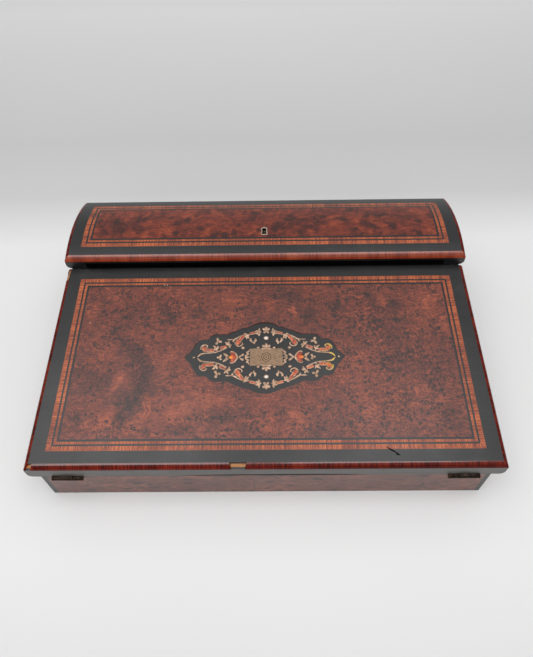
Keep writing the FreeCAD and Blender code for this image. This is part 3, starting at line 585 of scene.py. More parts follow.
lid_burl = burl_finish(
    "lid_burl", (tint(56, 23, 17), tint(100, 37, 24), tint(138, 57, 33), tint(182, 88, 48)),
    tint(66, 29, 23), LID_CLOUDS, LID_CROWDS, LID_SPECULAR, Swirl=20, Loop_Size=22, Loop_Count=4,
    Eye_Spacing=8, Eye_Share=0.8, Cloud_Size=20, Mottle_Size=11, Lace=0.2)
ebonised = ebonised_finish("ebonised_wood")
# Nearly black and dull: on the lid's front rail and the front gap strip this is partly painted shade, for the
# dark under the lid and in the gap.
dull_black_and_shade = ebonised_finish("dull_black_and_shade", (tint(2, 2, 2), tint(8, 8, 8)), 0, DULL_SPECULAR)
tulip_colours = (tint(66, 24, 12), tint(134, 56, 27), tint(184, 88, 40), tint(222, 118, 58))
# Painted light: a lighter copy of the rosewood colours for the lid's front bead, whose upper face is turned
# to the lamps.
lit_lid_bead_colours = (tint(70, 19, 10), tint(132, 45, 24), tint(162, 70, 41), tint(178, 86, 52))
rose_colours = (tint(34, 6, 4), tint(86, 16, 8), tint(118, 31, 15), tint(140, 48, 25))
aged_brass = brass_finish("aged_brass", tint(182, 150, 98), tint(146, 116, 74), 0.28, 0.5)
rim_brass = brass_finish("rim_brass", tint(232, 208, 192), tint(192, 168, 152), 0.4, 0.55)
hinge_bronze = brass_finish("hinge_bronze", tint(96, 80, 68), tint(44, 37, 33), 0.4, 0.6)
# The gold towards the right-hand end of the inlay is partly gilding and partly a painted glint.
inlay_brass = brass_finish(
    "inlay_brass", tint(240, 202, 174), tint(190, 156, 130), 0.38, 0.55, engraved=0.6,
    glint=(50, 60, tint(250, 206, 112)))
lock_metal = brass_finish("lock_metal", tint(168, 167, 144), tint(150, 150, 128), 0.4, 0.55, 0.4)
engraved_brass = engraved_finish()
red_horn = horn_finish("red_horn", tint(140, 48, 32), tint(190, 76, 44), tint(236, 124, 56))
orange_horn = horn_finish("orange_horn", tint(226, 92, 40), tint(246, 128, 38), tint(255, 160, 52))
pearl = clouded_finish(
    "pearl", 0.6, 0.8, (0.35, 0.5, 0.65), (tint(238, 226, 214), tint(250, 250, 248), tint(222, 236, 236)),
    0.12, 0.20)
side_wood = board_finish("side_wood", CASE_WOOD, turned=True)
bare_wood = board_finish("bare_wood", (tint(150, 92, 48), tint(206, 146, 88)))
pale_nick = board_finish("pale_nick", (tint(196, 176, 158), tint(226, 212, 198)))
slot_finishes = {
    "ebonised": ebonised, "panel_core": panel_finish(), "inlay_ground": ebonised, "burl": flap_burl,
    "lid_burl": lid_burl, "body_veneer": figured_case_finish(),
    "carcase": board_finish("case_wood", CASE_WOOD), "brass": aged_brass, "inlay_brass": inlay_brass,
    "red_inlay": red_horn, "pearl": pearl, "leather": leather_finish(), "lining": baize_finish(),
    "glass": glass_finish()}


def height_on(node, share):
    low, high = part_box(node)
    return (low.z + (high.z - low.z) * share) / MM


BLACKED_RIM = 4
rim_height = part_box("divider")[1].z / MM - BLACKED_RIM
flap_bead_box = (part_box("flap_left_bead")[0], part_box("flap_right_bead")[1])
lid_bead_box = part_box("lid_end_beads")
flap_gloss_and_shade = (height_on("flap_front_bead", 0.68), 0.16, -20, 70, 0.4)
lid_gloss_and_shade = (height_on("lid_front_bead", 0.45), 0.3, -60, 60, 0.1)
flap_beads = bead_finish("flap_beads", rose_colours, flap_bead_box)
node_finishes = {
    "left_partition": side_wood, "right_partition": side_wood,
    "divider": board_finish("divider_wood", CASE_WOOD, black_above=rim_height),
    "flap_left_bead": flap_beads, "flap_right_bead": flap_beads,
    "flap_front_bead": bead_finish("flap_nosing", rose_colours, flap_bead_box, flap_gloss_and_shade),
    "lid_end_beads": bead_finish("lid_beads", rose_colours, lid_bead_box),
    "lid_front_bead": bead_finish("lid_nosing", lit_lid_bead_colours, lid_bead_box, lid_gloss_and_shade),
    "flap_hinge_case_leaves": hinge_bronze, "flap_hinge_flap_leaves": hinge_bronze,
    "escutcheon": rim_brass, "lid_front_rail": dull_black_and_shade, "lock_case": lock_metal}
for side in ("left_side", "right_side"):
    node_finishes[side] = board_finish(side, CASE_WOOD, turned=True, black_above=rim_height)
for band in ("flap_outer_band", "flap_inner_band", "lid_outer_band", "lid_inner_band"):
    node_finishes[band] = crossband_finish(band, tulip_colours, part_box(band), 16, 0.32, 0.42)

slot_of = {entry["node"]: entry["material_slot"] for entry in frame["record"]["subparts"]}
bodies = frame["record"]["behaviour"]["bodies"]
body_of = {name: body for body, names in bodies.items() for name in names}


def finish_of(node):
    return node_finishes.get(node) or slot_finishes[slot_of[node]]


for name, node in nodes.items():
    node.material_slots[0].material = finish_of(name)


# Pieces that carry on from the solids
MERGE_REACH = 1e-6
ROUND_ANGLE = math.radians(42)
METAL_EDGE = 0.15 * MM
GLASS_EDGE = 0.4 * MM


def new_object(name, data):
    thing = bpy.data.objects.new(name, data)
    bpy.context.scene.collection.objects.link(thing)
    return thing


def add_piece(name, mesh, finish, body, slot, *replaced):
    mesh.materials.clear()
    mesh.materials.append(finish)
    piece = new_object(name, mesh)
    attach(piece, body)
    if replaced:
        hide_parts(*replaced)
    return piece


def mesh_of(name, shape):
    mesh = bpy.data.meshes.new(name)
    shape.to_mesh(mesh)
    shape.free()
    return mesh


def merged(node):
    shape = bmesh.new()
    shape.from_mesh(nodes[node].data)
    bmesh.ops.remove_doubles(shape, verts=shape.verts, dist=MERGE_REACH)
    return shape


def take_in(whole, extra):
    mesh = mesh_of("joined", extra)
    whole.from_mesh(mesh)
    bpy.data.meshes.remove(mesh)


def cut_off(shape, place, direction):
    """Cuts away what lies beyond a plane, and closes the cut."""
    cut = bmesh.ops.bisect_plane(
        shape, geom=shape.verts[:] + shape.edges[:] + shape.faces[:], plane_co=place, plane_no=direction,
        clear_outer=True)
    rim = [item for item in cut["geom_cut"] if isinstance(item, bmesh.types.BMEdge)]
    bmesh.ops.edgeloop_fill(shape, edges=rim)


def instead_of(node, name, shape, edge=0):
    """A piece in the place of a node, with the node's finish. Its curved faces are shaded round, and its
    edges can be softened by a small radius, so that they catch the light."""
    mesh = mesh_of(name, shape)
    if "custom_normal" in mesh.attributes:
        mesh.attributes.remove(mesh.attributes["custom_normal"])
    mesh.shade_smooth()
    mesh.set_sharp_from_angle(angle=ROUND_ANGLE)
    piece = add_piece(name, mesh, finish_of(node), body_of[node], slot_of[node], node)
    if edge:
        set_up(
            piece.modifiers.new("soft_edges", "BEVEL"), width=edge, segments=2, profile=0.5,
            limit_method="ANGLE", angle_limit=ROUND_ANGLE, harden_normals=True)
    return piece


def rounded_copy(node, edge=0):
    return instead_of(node, node + "_round", merged(node), edge)


def mark_inner(mesh):
    """Marks the faces that look down, which are the inside of a closed lid or flap."""
    marks = mesh.attributes.new(INNER, "FLOAT", "FACE")
    for face, mark in zip(mesh.polygons, marks.data):
        mark.value = 1.0 if face.normal.z < -0.5 else 0.0


for node in ("flap_board", "lid_top"):
    mark_inner(rounded_copy(node).data)
for node in ("lid_burl", "lid_border", "lid_outer_band", "lid_inner_band", "lid_front_bead",
             "lid_end_beads", "flap_right_bead", "pen_tray", "hinge_pins", "inkwell_pins"):
    rounded_copy(node)
for node in ("flap_hinge_case_leaves", "flap_hinge_flap_leaves", "lid_hinge_case_leaves",
             "lid_hinge_lid_leaves", "keeper", "lock_bolt"):
    rounded_copy(node, METAL_EDGE)
for node in ("inkwells", "inkwell_collars", "left_inkwell_cap", "right_inkwell_cap"):
    rounded_copy(node, GLASS_EDGE)


# Keyhole rim, with rounded lower corners and a hole drawn in a little, and the lock's pin below it
RIM_SHARE = 0.9
RIM_CORNER = 1.3 * MM
RIM_EDGE = 0.2 * MM
CORNER_ANGLE = math.radians(60)
PIN_DEPTH = 3.6 * MM


def keyhole_rim(node):
    shape = merged(node)
    middle = centre(node)
    upward = max(shape.faces, key=lambda face: face.normal.z).normal.copy()
    inner = set()
    for face in shape.faces:
        looks_in = face.normal.dot(face.calc_center_median() - middle) < 0
        if looks_in and abs(face.normal.dot(upward)) < 0.5:
            inner.update(face.verts)
    bmesh.ops.scale(
        shape, verts=[vert for vert in shape.verts if vert in inner], vec=(RIM_SHARE,) * 3,
        space=Matrix.Translation(-middle))
    corners = [
        edge for edge in shape.edges
        if edge.verts[0] not in inner and edge.is_convex and edge.calc_face_angle() > CORNER_ANGLE
        and abs((edge.verts[0].co - edge.verts[1].co).normalized().dot(upward)) > 0.9]
    bmesh.ops.bevel(
        shape, geom=corners, offset=RIM_CORNER, segments=4, affect="EDGES", profile=0.5, material=-1)
    instead_of(node, "keyhole_rim", shape, RIM_EDGE)


def lock_with_pin(node):
    """The lock, with its pin cut down to where it stands below the keyhole."""
    shape = merged(node)
    cut_off(shape, (0, 0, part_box("escutcheon")[1].z - PIN_DEPTH), (0, 0, 1))
    instead_of(node, "lock_with_pin", shape, METAL_EDGE)


keyhole_rim("escutcheon")
lock_with_pin("lock_case")


# Screws
SCREW_CORNERS = 6
SCREW_SIDES = 20
SCREW_HEAD = 1.75 * MM
SCREW_SINK = 0.9 * MM
SCREW_SHANK = 0.8 * MM
SCREW_TIP = 0.3 * MM
SCREW_RISE = 0.06 * MM
SLOT_WIDTH = 0.5 * MM
SLOT_DEPTH = 0.35 * MM
SLOT_TURN = math.radians(47)


def loose_pieces(shape):
    """The separate solids of a shape, as lists of vertices."""
    found = set()
    for start in shape.verts:
        if start in found:
            continue
        found.add(start)
        reached = [start]
        for vert in reached:
            for edge in vert.link_edges:
                beyond = edge.other_vert(vert)
                if beyond not in found:
                    found.add(beyond)
                    reached.append(beyond)
        yield reached


def middle_of(verts):
    return sum((vert.co for vert in verts), Vector()) / len(verts)


def upper_faces(shape, reach):
    """Faces of a screw's top that lie within a distance of the slot's middle line."""
    centres = [(face, face.calc_center_median()) for face in shape.faces]
    return [face for face, spot in centres if spot.z > 0.5 * SCREW_RISE and abs(spot.x) < reach]


def slotted_screw(length):
    """A countersunk screw whose slotted face lies just above the origin."""
    shape = bmesh.new()
    for low, high, bottom, top in ((SCREW_SHANK, SCREW_HEAD, -SCREW_SINK, SCREW_RISE),
                                   (SCREW_TIP, SCREW_SHANK, -length, -SCREW_SINK)):
        bmesh.ops.create_cone(
            shape, cap_ends=True, segments=SCREW_SIDES, radius1=low, radius2=high, depth=top - bottom,
            matrix=Matrix.Translation((0, 0, (top + bottom) / 2)))
    for side in (-1, 1):
        bmesh.ops.bisect_plane(
            shape, geom=upper_faces(shape, SCREW_HEAD), plane_co=(side * SLOT_WIDTH / 2, 0, 0),
            plane_no=(1, 0, 0))
    floors = upper_faces(shape, SLOT_WIDTH / 4)
    pressed = bmesh.ops.extrude_face_region(shape, geom=floors)["geom"]
    sunk = [item for item in pressed if isinstance(item, bmesh.types.BMVert)]
    bmesh.ops.translate(shape, verts=sunk, vec=(0, 0, -SLOT_DEPTH))
    bmesh.ops.delete(shape, geom=floors, context="FACES_ONLY")
    return shape


def slotted_screws(node):
    """Slotted screws in the places of a node's plain ones, each turned its own way."""
    whole = bmesh.new()
    for count, verts in enumerate(loose_pieces(merged(node))):
        middle = middle_of(verts)
        ordered = sorted(verts, key=lambda vert: (vert.co - middle).length, reverse=True)
        tail = middle_of(ordered[:SCREW_CORNERS])
        head = middle_of(ordered[SCREW_CORNERS:2 * SCREW_CORNERS])
        screw = slotted_screw((head - tail).length)
        turn = (head - tail).to_track_quat("Z", "Y").to_matrix().to_4x4()
        bmesh.ops.transform(
            screw, verts=screw.verts,
            matrix=Matrix.Translation(head) @ turn @ Matrix.Rotation(SLOT_TURN * count, 4, "Z"))
        take_in(whole, screw)
    instead_of(node, node + "_slotted", whole)


for node in ("case_screws", "flap_screws", "lid_screws"):
    slotted_screws(node)


# Chipped beads of the flap
CHIP_LEAN = 0.35
CORNER_CHIP = (-195, -188)
FRONT_CHIP = (-28.5, -14.5)
BACK_CHIP = (39, 49.6)
CORE_SHARE = 0.55
END_REACH = 0.01


def surface_frame(node, middle):
    """A frame on the upper face of a node, over a given place, with Z along the face's normal."""
    faces = [face for face in nodes[node].data.polygons if face.normal.z > 0.5]
    face = max(faces, key=lambda each: each.area)
    normal = face.normal
    gap = middle - face.center
    height = face.center.z - (normal.x * gap.x + normal.y * gap.y) / normal.z
    across = Vector((1, 0, 0))
    turn = Matrix((across, normal.cross(across), normal)).transposed().to_4x4()
    return Matrix.Translation((middle.x, middle.y, height)) @ turn


def span_of_bead(node, axis, low, high):
    """The stretch of a bead between two slanting breaks, closed at both ends."""
    shape = merged(node)
    for place, side in ((low, -1), (high, 1)):
        if place is None:
            continue
        middle = centre(node)
        middle[axis] = place * MM
        top = surface_frame("flap_burl", middle)
        along = top.to_3x3().col[axis]
        upward = top.to_3x3().col[2]
        cut_off(shape, top.translation, (along + upward * CHIP_LEAN * side) * side)
    bmesh.ops.recalc_face_normals(shape, faces=shape.faces)
    return shape


def chipped_bead(node, axis, chips, inner_corner):
    """A bead with stretches broken off. The pale core of the edge shows in their place."""
    whole = bmesh.new()
    core = bmesh.new()
    starts = [None] + [high for low, high in chips]
    ends = [low for low, high in chips] + [None]
    low_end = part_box(node)[0][axis] / MM
    for low, high in zip(starts, ends):
        if high is None or high > low_end + END_REACH:
            take_in(whole, span_of_bead(node, axis, low, high))
    shrink = Matrix.Scale(CORE_SHARE, 4)
    shrink[axis][axis] = 1.0
    shrink = Matrix.Translation(inner_corner) @ shrink @ Matrix.Translation(-inner_corner)
    for low, high in chips:
        stretch = span_of_bead(node, axis, low, high)
        bmesh.ops.transform(stretch, verts=stretch.verts, matrix=shrink)
        take_in(core, stretch)
    instead_of(node, node + "_chipped", whole)
    add_piece(node + "_core", mesh_of(node + "_core", core), bare_wood, body_of[node], slot_of[node])


front_low, front_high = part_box("flap_front_bead")
chipped_bead("flap_front_bead", 0, [CORNER_CHIP, FRONT_CHIP], Vector((0, front_high.y, front_low.z)))
chipped_bead("flap_left_bead", 1, [BACK_CHIP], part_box("flap_left_bead")[1])


# Marquetry of the flap, in millimetres from the middle of its panel, a little to the right of the ground
GROUND_RISE = 0.03 * MM
GROUND_DEPTH = 0.5 * MM
PLAQUE_RISE = 0.05 * MM
PLAQUE_DEPTH = 0.4 * MM
BRASS_FLATNESS = 0.035
RED_FLATNESS = 0.15
LEAF_FLATNESS = 0.2
GLOW_FLATNESS = 0.24
PEARL_FLATNESS = 0.12
SCROLL_EDGE = 0.75
PEARL_EDGE = 0.8
LEAF_FULLNESS = 0.2
STROKE_STEPS = 5
OUTLINE_STEPS = 6
panel_frame = surface_frame("flap_burl", centre("cartouche_ground") + PANEL_SHIFT)
pattern_frame = panel_frame @ Matrix.Translation((PATTERN_SHIFT.x, PATTERN_SHIFT.y, GROUND_RISE))

# One quarter of the outlines, from the right end to the top. The third value says whether it is a corner.
GROUND_QUARTER = [
    (71.8, 0, True), (65.6, 6.3, True), (63, 11.4, False), (58.4, 17.4, False), (51.2, 18.3, True),
    (48.6, 21.2, False), (43.4, 23.4, False), (34, 23.2, False), (24, 27.6, False), (13.4, 31.2, False),
    (7.2, 33.8, False), (0, 34.8, False)]
PLAQUE_QUARTER = [(14.6, 0, True), (14.6, 8.5, True), (0, 8.5, True)]

# Strokes are points with a half width. The red ones fill the brass scrolls.
RED_SCROLLS = [
    [(9, 25.2, 0.55), (12, 24.5, 0.9), (15.2, 23.7, 0.7)],
    [(19.8, 22, 0.7), (21.6, 20.3, 1.3), (23.3, 17.8, 1.05), (25, 16, 1.8), (25.6, 14.3, 2),
     (24.6, 12.8, 1.1)],
    [(35.6, 11.2, 0.6), (38.8, 10, 1.05), (42, 9, 0.7)],
    [(46.4, 6.8, 0.8), (49, 7.1, 1.2), (51.3, 7.2, 1.05), (53.4, 7.3, 0.9), (55.2, 7.8, 1.5),
     (55.8, 9.4, 1.6), (55.4, 11, 0.9)]]
BRASS_LINES = [
    [(18.6, 23.4, 0.3), (23.4, 21.4, 0.5), (27.2, 18.9, 0.8), (29.6, 17.2, 1), (29.7, 15.3, 0.5)],
    [(29.4, 17.7, 0.4), (31.3, 17.8, 0.55), (33.6, 17.8, 0.75), (35.9, 17.8, 0.35)],
    [(28.4, 15.4, 0.4), (27.6, 12.7, 0.55), (25.4, 11.2, 0.6), (23, 11.5, 0.6), (21.5, 13, 0.55),
     (21.6, 14.4, 0.45), (22.5, 14.7, 0.25)],
    [(61.5, 0.4, 0.35), (60.2, 1.8, 0.6), (58.9, 3.1, 0.9), (57, 3.8, 0.75), (54, 4.3, 0.6),
     (45.5, 5.1, 0.55), (41, 6.7, 0.55), (34.8, 9.9, 0.4)],
    [(58.8, 7.6, 0.5), (58.7, 10.3, 0.6), (57.2, 12.1, 0.65), (54.7, 12.6, 0.65), (52.9, 11.2, 0.55),
     (53.6, 10, 0.3)]]
LEAF_BREAKS = [
    [(15, 22.8, 0.4), (17.2, 22.2, 1.5), (19.8, 21.4, 0.6)],
    [(17.4, 22, 0.8), (16.4, 20.2, 1), (15.4, 19, 0.2)],
    [(17.8, 21.8, 0.8), (18, 19.8, 0.8), (17.4, 18.2, 0.15)],
    [(17.6, 22.4, 0.6), (18.8, 23.6, 0.7), (20.4, 24, 0.15)],
    [(42.8, 9.2, 0.4), (44.6, 8.9, 1.4), (47.2, 7.4, 0.6)],
    [(44.8, 9, 0.8), (46.2, 10.5, 1), (47.9, 11.7, 0.3)],
    [(44.8, 8.6, 0.7), (44.2, 7.2, 0.7), (43.8, 6, 0.15)],
    [(44.4, 9.2, 0.7), (43.6, 10.4, 0.8), (43.4, 11.6, 0.15)],
    [(6.5, 29.8, 0.15), (6.3, 27.6, 1), (7, 25.4, 1.5), (6.4, 23.4, 1.1), (6.8, 21.2, 0.15)],
    [(6.4, 25.8, 0.8), (8.4, 26.6, 1), (10, 26, 0.2)],
    [(6.4, 25, 0.8), (8.2, 24, 1), (9.8, 24.4, 0.2)],
    [(6.8, 25.4, 0.6), (5.2, 25.4, 0.8), (4.2, 25.4, 0.15)],
    [(33.6, 12, 0.6), (35.2, 13.6, 1.35), (37.3, 15.6, 0.2)],
    [(34.8, 13, 0.8), (33, 11.4, 1.05), (32.5, 9.2, 0.25)],
    [(34.6, 12.8, 0.6), (32.8, 12.7, 0.9), (31.2, 12, 0.2)],
    [(34.6, 13.2, 0.6), (34, 15, 0.8), (33.6, 16.3, 0.15)]]
VEE = [(24.8, 0, 0.4), (22.7, 1.3, 0.9), (20.9, 2.6, 1.25), (20, 3.4, 0.3)]
BOW = [(33.8, 1, 0.7), (36, 2.3, 1.5), (38.6, 4.3, 0.4)]
TULIP = [
    [(10.5, 13, 0.4), (10.9, 14.8, 1.05), (9.6, 17, 1.3), (10.6, 18.9, 0.4)],
    [(12.2, 14.4, 0.4), (13.5, 16.2, 1), (14.3, 17.5, 1.15), (13.4, 19.1, 0.35)]]
PETAL_PROFILE = ((0, 0.35), (0.35, 0.8), (0.65, 1), (0.88, 0.7), (1, 0.12))
DOT_SHARES = (-1, -0.7, 0, 0.7, 1)


def dot(x, y, reach):
    return [(x + share * reach, y, reach * math.sqrt(1.02 - share * share)) for share in DOT_SHARES]


def petal(x, y, angle, length, reach):
    """A drop-shaped stroke that starts at a point and runs off at an angle."""
    run = Vector((math.cos(math.radians(angle)), math.sin(math.radians(angle)))) * length
    return [(x + run.x * far, y + run.y * far, reach * share) for far, share in PETAL_PROFILE]


def spray(x, y, angles, length, reach):
    return [petal(x, y, angle, length, reach) for angle in angles]


QUARTER_SPRAYS = (
    [petal(43.6, 16.2, 78, 4, 1.7), petal(43.6, 16.6, 297, 4.2, 1.5), petal(43.6, 16.5, 195, 3.7, 1.5)]
    + [dot(20.9, 9.3, 1.55), VEE, BOW] + TULIP)
SIDE_SPRAYS = (
    spray(41.2, 0, (0, 108, 252), 3, 1.3) + [dot(64.7, 0, 1.1)]
    + [[(35.8, 1.8, 0.5), (35.6, 0, 0.6), (35.8, -1.8, 0.5)]])
BRACKET = [
    (14.9, 0, 0.5), (18.4, 0.6, 0.9), (17.2, 2.2, 0.8), (16, 3.2, 0.8), (17.4, 4.6, 0.8),
    (15.8, 5.8, 0.7), (15, 7.6, 0.3)]
CREST = (
    spray(0, 9.6, (30, 90, 150), 4.4, 1.5) + spray(0, 8.4, (0, 180), 4.6, 1.2)
    + [dot(7.2, 9.4, 1.3), dot(-7.2, 9.4, 1.3)])
ROSETTE = spray(0, 27.2, (32, 90, 148), 3.9, 1.6) + spray(0, 27.2, (232, 308), 3.8, 1.35)
SHELL_RIM = [
    (32.6, 4.4, 0.35), (31.2, 5.7, 0.6), (29.1, 5, 0.7), (26.7, 2.4, 0.75), (25.9, 0, 0.8),
    (26.7, -2.4, 0.75), (29.1, -5, 0.7), (31.2, -5.7, 0.6), (32.6, -4.4, 0.35)]
SHELL_FILL = [[(31.4, 4.2, 1.1), (29.8, 2.8, 1.9), (29, 0, 2.2), (29.8, -2.8, 1.9), (31.4, -4.2, 1.1)]]
SHELL_GLOW = [[(33.4, 0, 0.6), (31.8, 0, 1.7), (29.9, 0, 2.1), (28.2, 0, 0.9)]]
PEARLS = [(0, 19.2, 1.45), (0, -19.2, 1.45)]


def flipped(strokes, *signs):
    return [[(x * sx, y * sy, reach) for x, y, reach in points] for sx, sy in signs for points in strokes]


def four_ways(strokes):
    return flipped(strokes, (1, 1), (-1, 1), (1, -1), (-1, -1))


def both_sides(strokes):
    return flipped(strokes, (1, 1), (-1, 1))


def widened(strokes, extra):
    return [[(x, y, reach + extra) for x, y, reach in points] for points in strokes]


def add_line(curve, points, steps, cyclic=False):
    """A smooth line through points, each with a half width and the kind of its handles."""
    spline = set_up(curve.splines.new("BEZIER"), use_cyclic_u=cyclic, resolution_u=steps)
    spline.bezier_points.add(len(points) - 1)
    for knot, (x, y, reach, handle) in zip(spline.bezier_points, points):
        set_up(
            knot, co=(x * MM, y * MM, 0), radius=reach, handle_left_type=handle, handle_right_type=handle)


def flat_mesh(name, curve, flatness, ground):
    """Mesh of a flat curve, laid on the XY plane of a frame."""
    holder = new_object(name, curve)
    drawn = bpy.data.meshes.new_from_object(holder)
    bpy.data.objects.remove(holder)
    shape = bmesh.new()
    shape.from_mesh(drawn)
    bpy.data.meshes.remove(drawn)
    bmesh.ops.remove_doubles(shape, verts=shape.verts, dist=MERGE_REACH)
    bmesh.ops.dissolve_degenerate(shape, edges=shape.edges, dist=MERGE_REACH)
    bmesh.ops.recalc_face_normals(shape, faces=shape.faces)
    bmesh.ops.transform(shape, verts=shape.verts, matrix=ground @ Matrix.Diagonal((1, 1, flatness, 1)))
    return mesh_of(name, shape)


def inlay(name, strokes, flatness, finish, slot, *replaced, ground=pattern_frame):
    """Tapered strokes pressed flat, as thin slips let into the flap."""
    curve = set_up(
        bpy.data.curves.new(name, "CURVE"), dimensions="3D", bevel_depth=MM, bevel_resolution=2,
        use_fill_caps=True)
    for points in strokes:
        add_line(curve, [(*point, "AUTO") for point in points], STROKE_STEPS)
    mesh = flat_mesh(name, curve, flatness, ground)
    mesh.shade_smooth()
    add_piece(name, mesh, finish, "flap", slot, *replaced)


def plate(name, quarter, shift, thickness, top, finish, slot, *replaced):
    """A thin plate whose outline is one quarter, mirrored to the others."""
    top_left = [(-x, y, corner) for x, y, corner in reversed(quarter[:-1])]
    low_left = [(-x, -y, corner) for x, y, corner in quarter[1:]]
    low_right = [(x, -y, corner) for x, y, corner in reversed(quarter[1:-1])]
    outline = quarter + top_left + low_left + low_right
    curve = set_up(
        bpy.data.curves.new(name, "CURVE"), dimensions="2D", fill_mode="BOTH", extrude=thickness / 2)
    points = [(x, y, 1, "VECTOR" if corner else "AUTO") for x, y, corner in outline]
    add_line(curve, points, OUTLINE_STEPS, True)
    ground = panel_frame @ Matrix.Translation((shift[0], shift[1], top - thickness / 2))
    add_piece(name, flat_mesh(name, curve, 1, ground), finish, "flap", slot, *replaced)


plate(
    "panel_ground", GROUND_QUARTER, (0, 0), GROUND_DEPTH, GROUND_RISE, ebonised, "inlay_ground",
    "cartouche_ground")
plate(
    "panel_plaque", PLAQUE_QUARTER, PATTERN_SHIFT, PLAQUE_DEPTH, GROUND_RISE + PLAQUE_RISE, engraved_brass,
    "inlay_brass", "cartouche_plaque")
red_strokes = four_ways(RED_SCROLLS) + both_sides(SHELL_FILL)
brass_strokes = four_ways(widened(RED_SCROLLS, SCROLL_EDGE) + BRASS_LINES) + both_sides([SHELL_RIM])
brass_strokes += [dot(x, y, reach + PEARL_EDGE) for x, y, reach in PEARLS]
leaf_strokes = four_ways(widened(LEAF_BREAKS, LEAF_FULLNESS) + QUARTER_SPRAYS + [BRACKET])
leaf_strokes += both_sides(SIDE_SPRAYS) + flipped(ROSETTE + CREST, (1, 1), (1, -1))
inlay("panel_scrolls", brass_strokes, BRASS_FLATNESS, inlay_brass, "inlay_brass", "cartouche_scrolls")
inlay("panel_red_slips", red_strokes, RED_FLATNESS, red_horn, "red_inlay", "cartouche_fills")
inlay("panel_orange_slips", both_sides(SHELL_GLOW), GLOW_FLATNESS, orange_horn, "red_inlay")
inlay("panel_leaves", leaf_strokes, LEAF_FLATNESS, inlay_brass, "inlay_brass", "cartouche_sprigs")
inlay("panel_pearls", [dot(*each) for each in PEARLS], PEARL_FLATNESS, pearl, "pearl", "cartouche_pearls")


# Small marks of use on the flap, in millimetres from the middle of the panel
SCRATCH_FLATNESS = 0.04
NICK_FLATNESS = 0.06
SCRATCH = [
    [(96.8, -81.6, 0.15), (99.3, -83.4, 0.5), (101.5, -84.7, 0.75), (103.7, -86.1, 0.5),
     (106, -87.9, 0.65), (107.7, -89, 0.2)],
    [(106.6, -88.3, 0.5), (104.3, -88.3, 0.2)]]
NICKS = [
    [(-95.9, 78, 0.1), (-95.4, 78.3, 0.5), (-94.9, 78.5, 0.1)],
    [(-98.6, 78.2, 0.1), (-98.2, 78.3, 0.35), (-97.8, 78.3, 0.1)],
    [(-164, 37.4, 0.1), (-163.7, 37, 0.45), (-163.2, 36.6, 0.1)]]
inlay("border_scratch", SCRATCH, SCRATCH_FLATNESS, dull_black_and_shade, "ebonised")
inlay("border_nicks", NICKS, NICK_FLATNESS, pale_nick, "tulipwood")

# A painted shadow: a thin dull black strip on the flap's front, for the dark gap where the flap does not
# quite close, in X and Z
GAP_FLATNESS = 0.05
FRONT_GAP_SHADOW = [
    [(-68, 34.5, 0.1), (-50, 34.8, 0.7), (0, 34.9, 0.95), (46, 34.9, 0.9), (70, 34.7, 0.5),
     (84, 34.5, 0.1)]]
front_frame = Matrix.Translation((0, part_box("flap_board")[0].y, 0)) @ Matrix.Rotation(math.pi / 2, 4, "X")
inlay("front_gap_shadow", FRONT_GAP_SHADOW, GAP_FLATNESS, dull_black_and_shade, "ebonised", ground=front_frame)


# Lips under the overhanging ends of the lid, which close the seam behind the flap
LIP_DROP = 1.5 * MM
LIP_DEPTH = 5.0 * MM
LIP_GAP = 0.4 * MM
LIP_SIDE_GAP = 0.12 * MM
LIP_EDGE = 0.4 * MM
LID_CORNER = 4.6 * MM


def lid_lips():
    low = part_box("lid_left_end")[0]
    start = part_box("right_veneer")[1].x + LIP_SIDE_GAP
    size = (-low.x - LID_CORNER - start, LIP_DEPTH, LIP_DROP)
    middle_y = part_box("flap_board")[1].y + LIP_GAP + LIP_DEPTH / 2
    shape = bmesh.new()
    for side in (-1, 1):
        made = bmesh.ops.create_cube(shape, size=1)["verts"]
        bmesh.ops.scale(shape, verts=made, vec=size)
        bmesh.ops.translate(
            shape, verts=made, vec=(side * (start + size[0] / 2), middle_y, low.z - LIP_DROP / 2))
    # The ends beside the case stay square, so that nothing shows between.
    lower = [
        edge for edge in shape.edges if all(vert.co.z < low.z - LIP_DROP / 2 for vert in edge.verts)
        and any(abs(vert.co.x) > start + size[0] / 2 for vert in edge.verts)]
    bmesh.ops.bevel(
        shape, geom=lower, offset=LIP_EDGE, segments=2, affect="EDGES", profile=0.5, material=-1)
    add_piece("lid_lips", mesh_of("lid_lips", shape), ebonised, "lid", "ebonised")


lid_lips()


# Studio: floor, two soft lamps overhead and a fill lamp in front, pale world and the camera
def make_floor():
    shape = bmesh.new()
    bmesh.ops.create_grid(shape, x_segments=1, y_segments=1, size=FLOOR_SIZE / 2)
    bmesh.ops.translate(shape, verts=shape.verts, vec=(0, 0, -FLOOR_DROP))
    mesh = mesh_of("floor", shape)
    floor = new_object("floor", mesh)
    material, place = new_finish("pale_floor")
    metres = scaled(place, MM)
    # The floor's brightness by Y, with a little wobble, is painted light and shade.
    back = calc("MULTIPLY_ADD", noise(metres, 2), 0.06, parts_of(metres)["Y"])
    near, far = FLOOR_PAINTED_LEVELS[0][0], FLOOR_PAINTED_LEVELS[-1][0]
    share = over(minus(back, near), far - near)
    positions = [(at - near) / (far - near) for at, level in FLOOR_PAINTED_LEVELS]
    greys = [(level, level, level, 1) for at, level in FLOOR_PAINTED_LEVELS]
    mesh.materials.append(finished(material, Base_Color=ramp(share, positions, greys), Roughness=0.6))


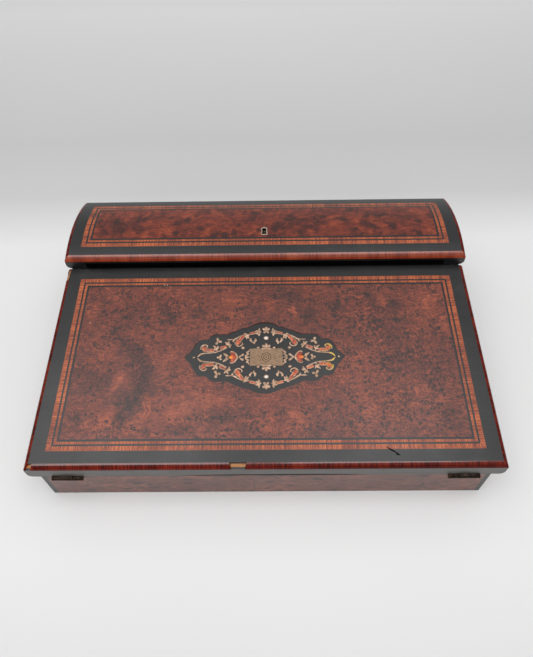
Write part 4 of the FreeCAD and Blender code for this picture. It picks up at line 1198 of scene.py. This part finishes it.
def make_lamp(name, place, size, radiance):
    """A flat lamp of an even brightness, which looks down and isn't seen itself."""
    width, depth = size
    lamp = set_up(
        bpy.data.lights.new(name, "AREA"), shape="RECTANGLE", size=width, size_y=depth,
        energy=radiance * math.pi * width * depth)
    return set_up(new_object(name, lamp), location=place, visible_camera=False)


def make_world():
    """A white backdrop for the camera, a paler back than front for reflections, and even light."""
    world = set_up(bpy.data.worlds.new("studio"), use_nodes=True)
    bpy.context.scene.world = world
    tree = world.node_tree
    tree.nodes.clear()
    path = tree.nodes.new("ShaderNodeLightPath").outputs
    seen = plus(path["Is Camera Ray"], path["Is Glossy Ray"])
    seen = plus(seen, path["Is Transmission Ray"], use_clamp=True)
    x, y, z = parts_of(tree.nodes.new("ShaderNodeTexCoord").outputs["Generated"])
    pale_side = plus(times(z, 0.75), times(y, 0.65))
    mirrored = grade(pale_side, 0.1, 0.75, WORLD_FRONT, WORLD_BACK)
    mirrored = calc("MAXIMUM", mirrored, path["Is Camera Ray"])
    level = mixed(seen, WORLD_DIFFUSE, mirrored, "FLOAT")
    back = put("ShaderNodeBackground", Color=(1, 1, 1, 1), Strength=level)["Background"]
    put("ShaderNodeOutputWorld", Surface=back)


def make_camera():
    data = set_up(
        bpy.data.cameras.new("camera"), sensor_width=SENSOR, sensor_fit="AUTO",
        lens=FOCAL_PIXELS * SENSOR / PICTURE_HEIGHT, clip_start=0.01)
    camera = new_object("camera", data)
    pitch = Matrix.Rotation(math.pi / 2 - CAMERA_PITCH, 4, "X")
    yaw = Matrix.Rotation(CAMERA_YAW, 4, "Z")
    roll = Matrix.Rotation(CAMERA_ROLL, 4, "Z")
    camera.matrix_world = Matrix.Translation(CAMERA_PLACE) @ yaw @ pitch @ roll
    bpy.context.scene.camera = camera


make_floor()
for name, (middle, width) in LAMPS.items():
    make_lamp(name, (middle, LAMP_Y, LAMP_HEIGHT), (width, LAMP_DEPTH), LAMP_RADIANCE)
fill_lamp = make_lamp("fill_lamp", FILL_PLACE, FILL_SIZE, FILL_RADIANCE)
fill_lamp.rotation_euler = Vector(FILL_PLACE).to_track_quat("Z", "X").to_euler()
fill_lamp.visible_glossy = False
make_world()
make_camera()
bpy.context.scene.view_settings.view_transform = "Standard"
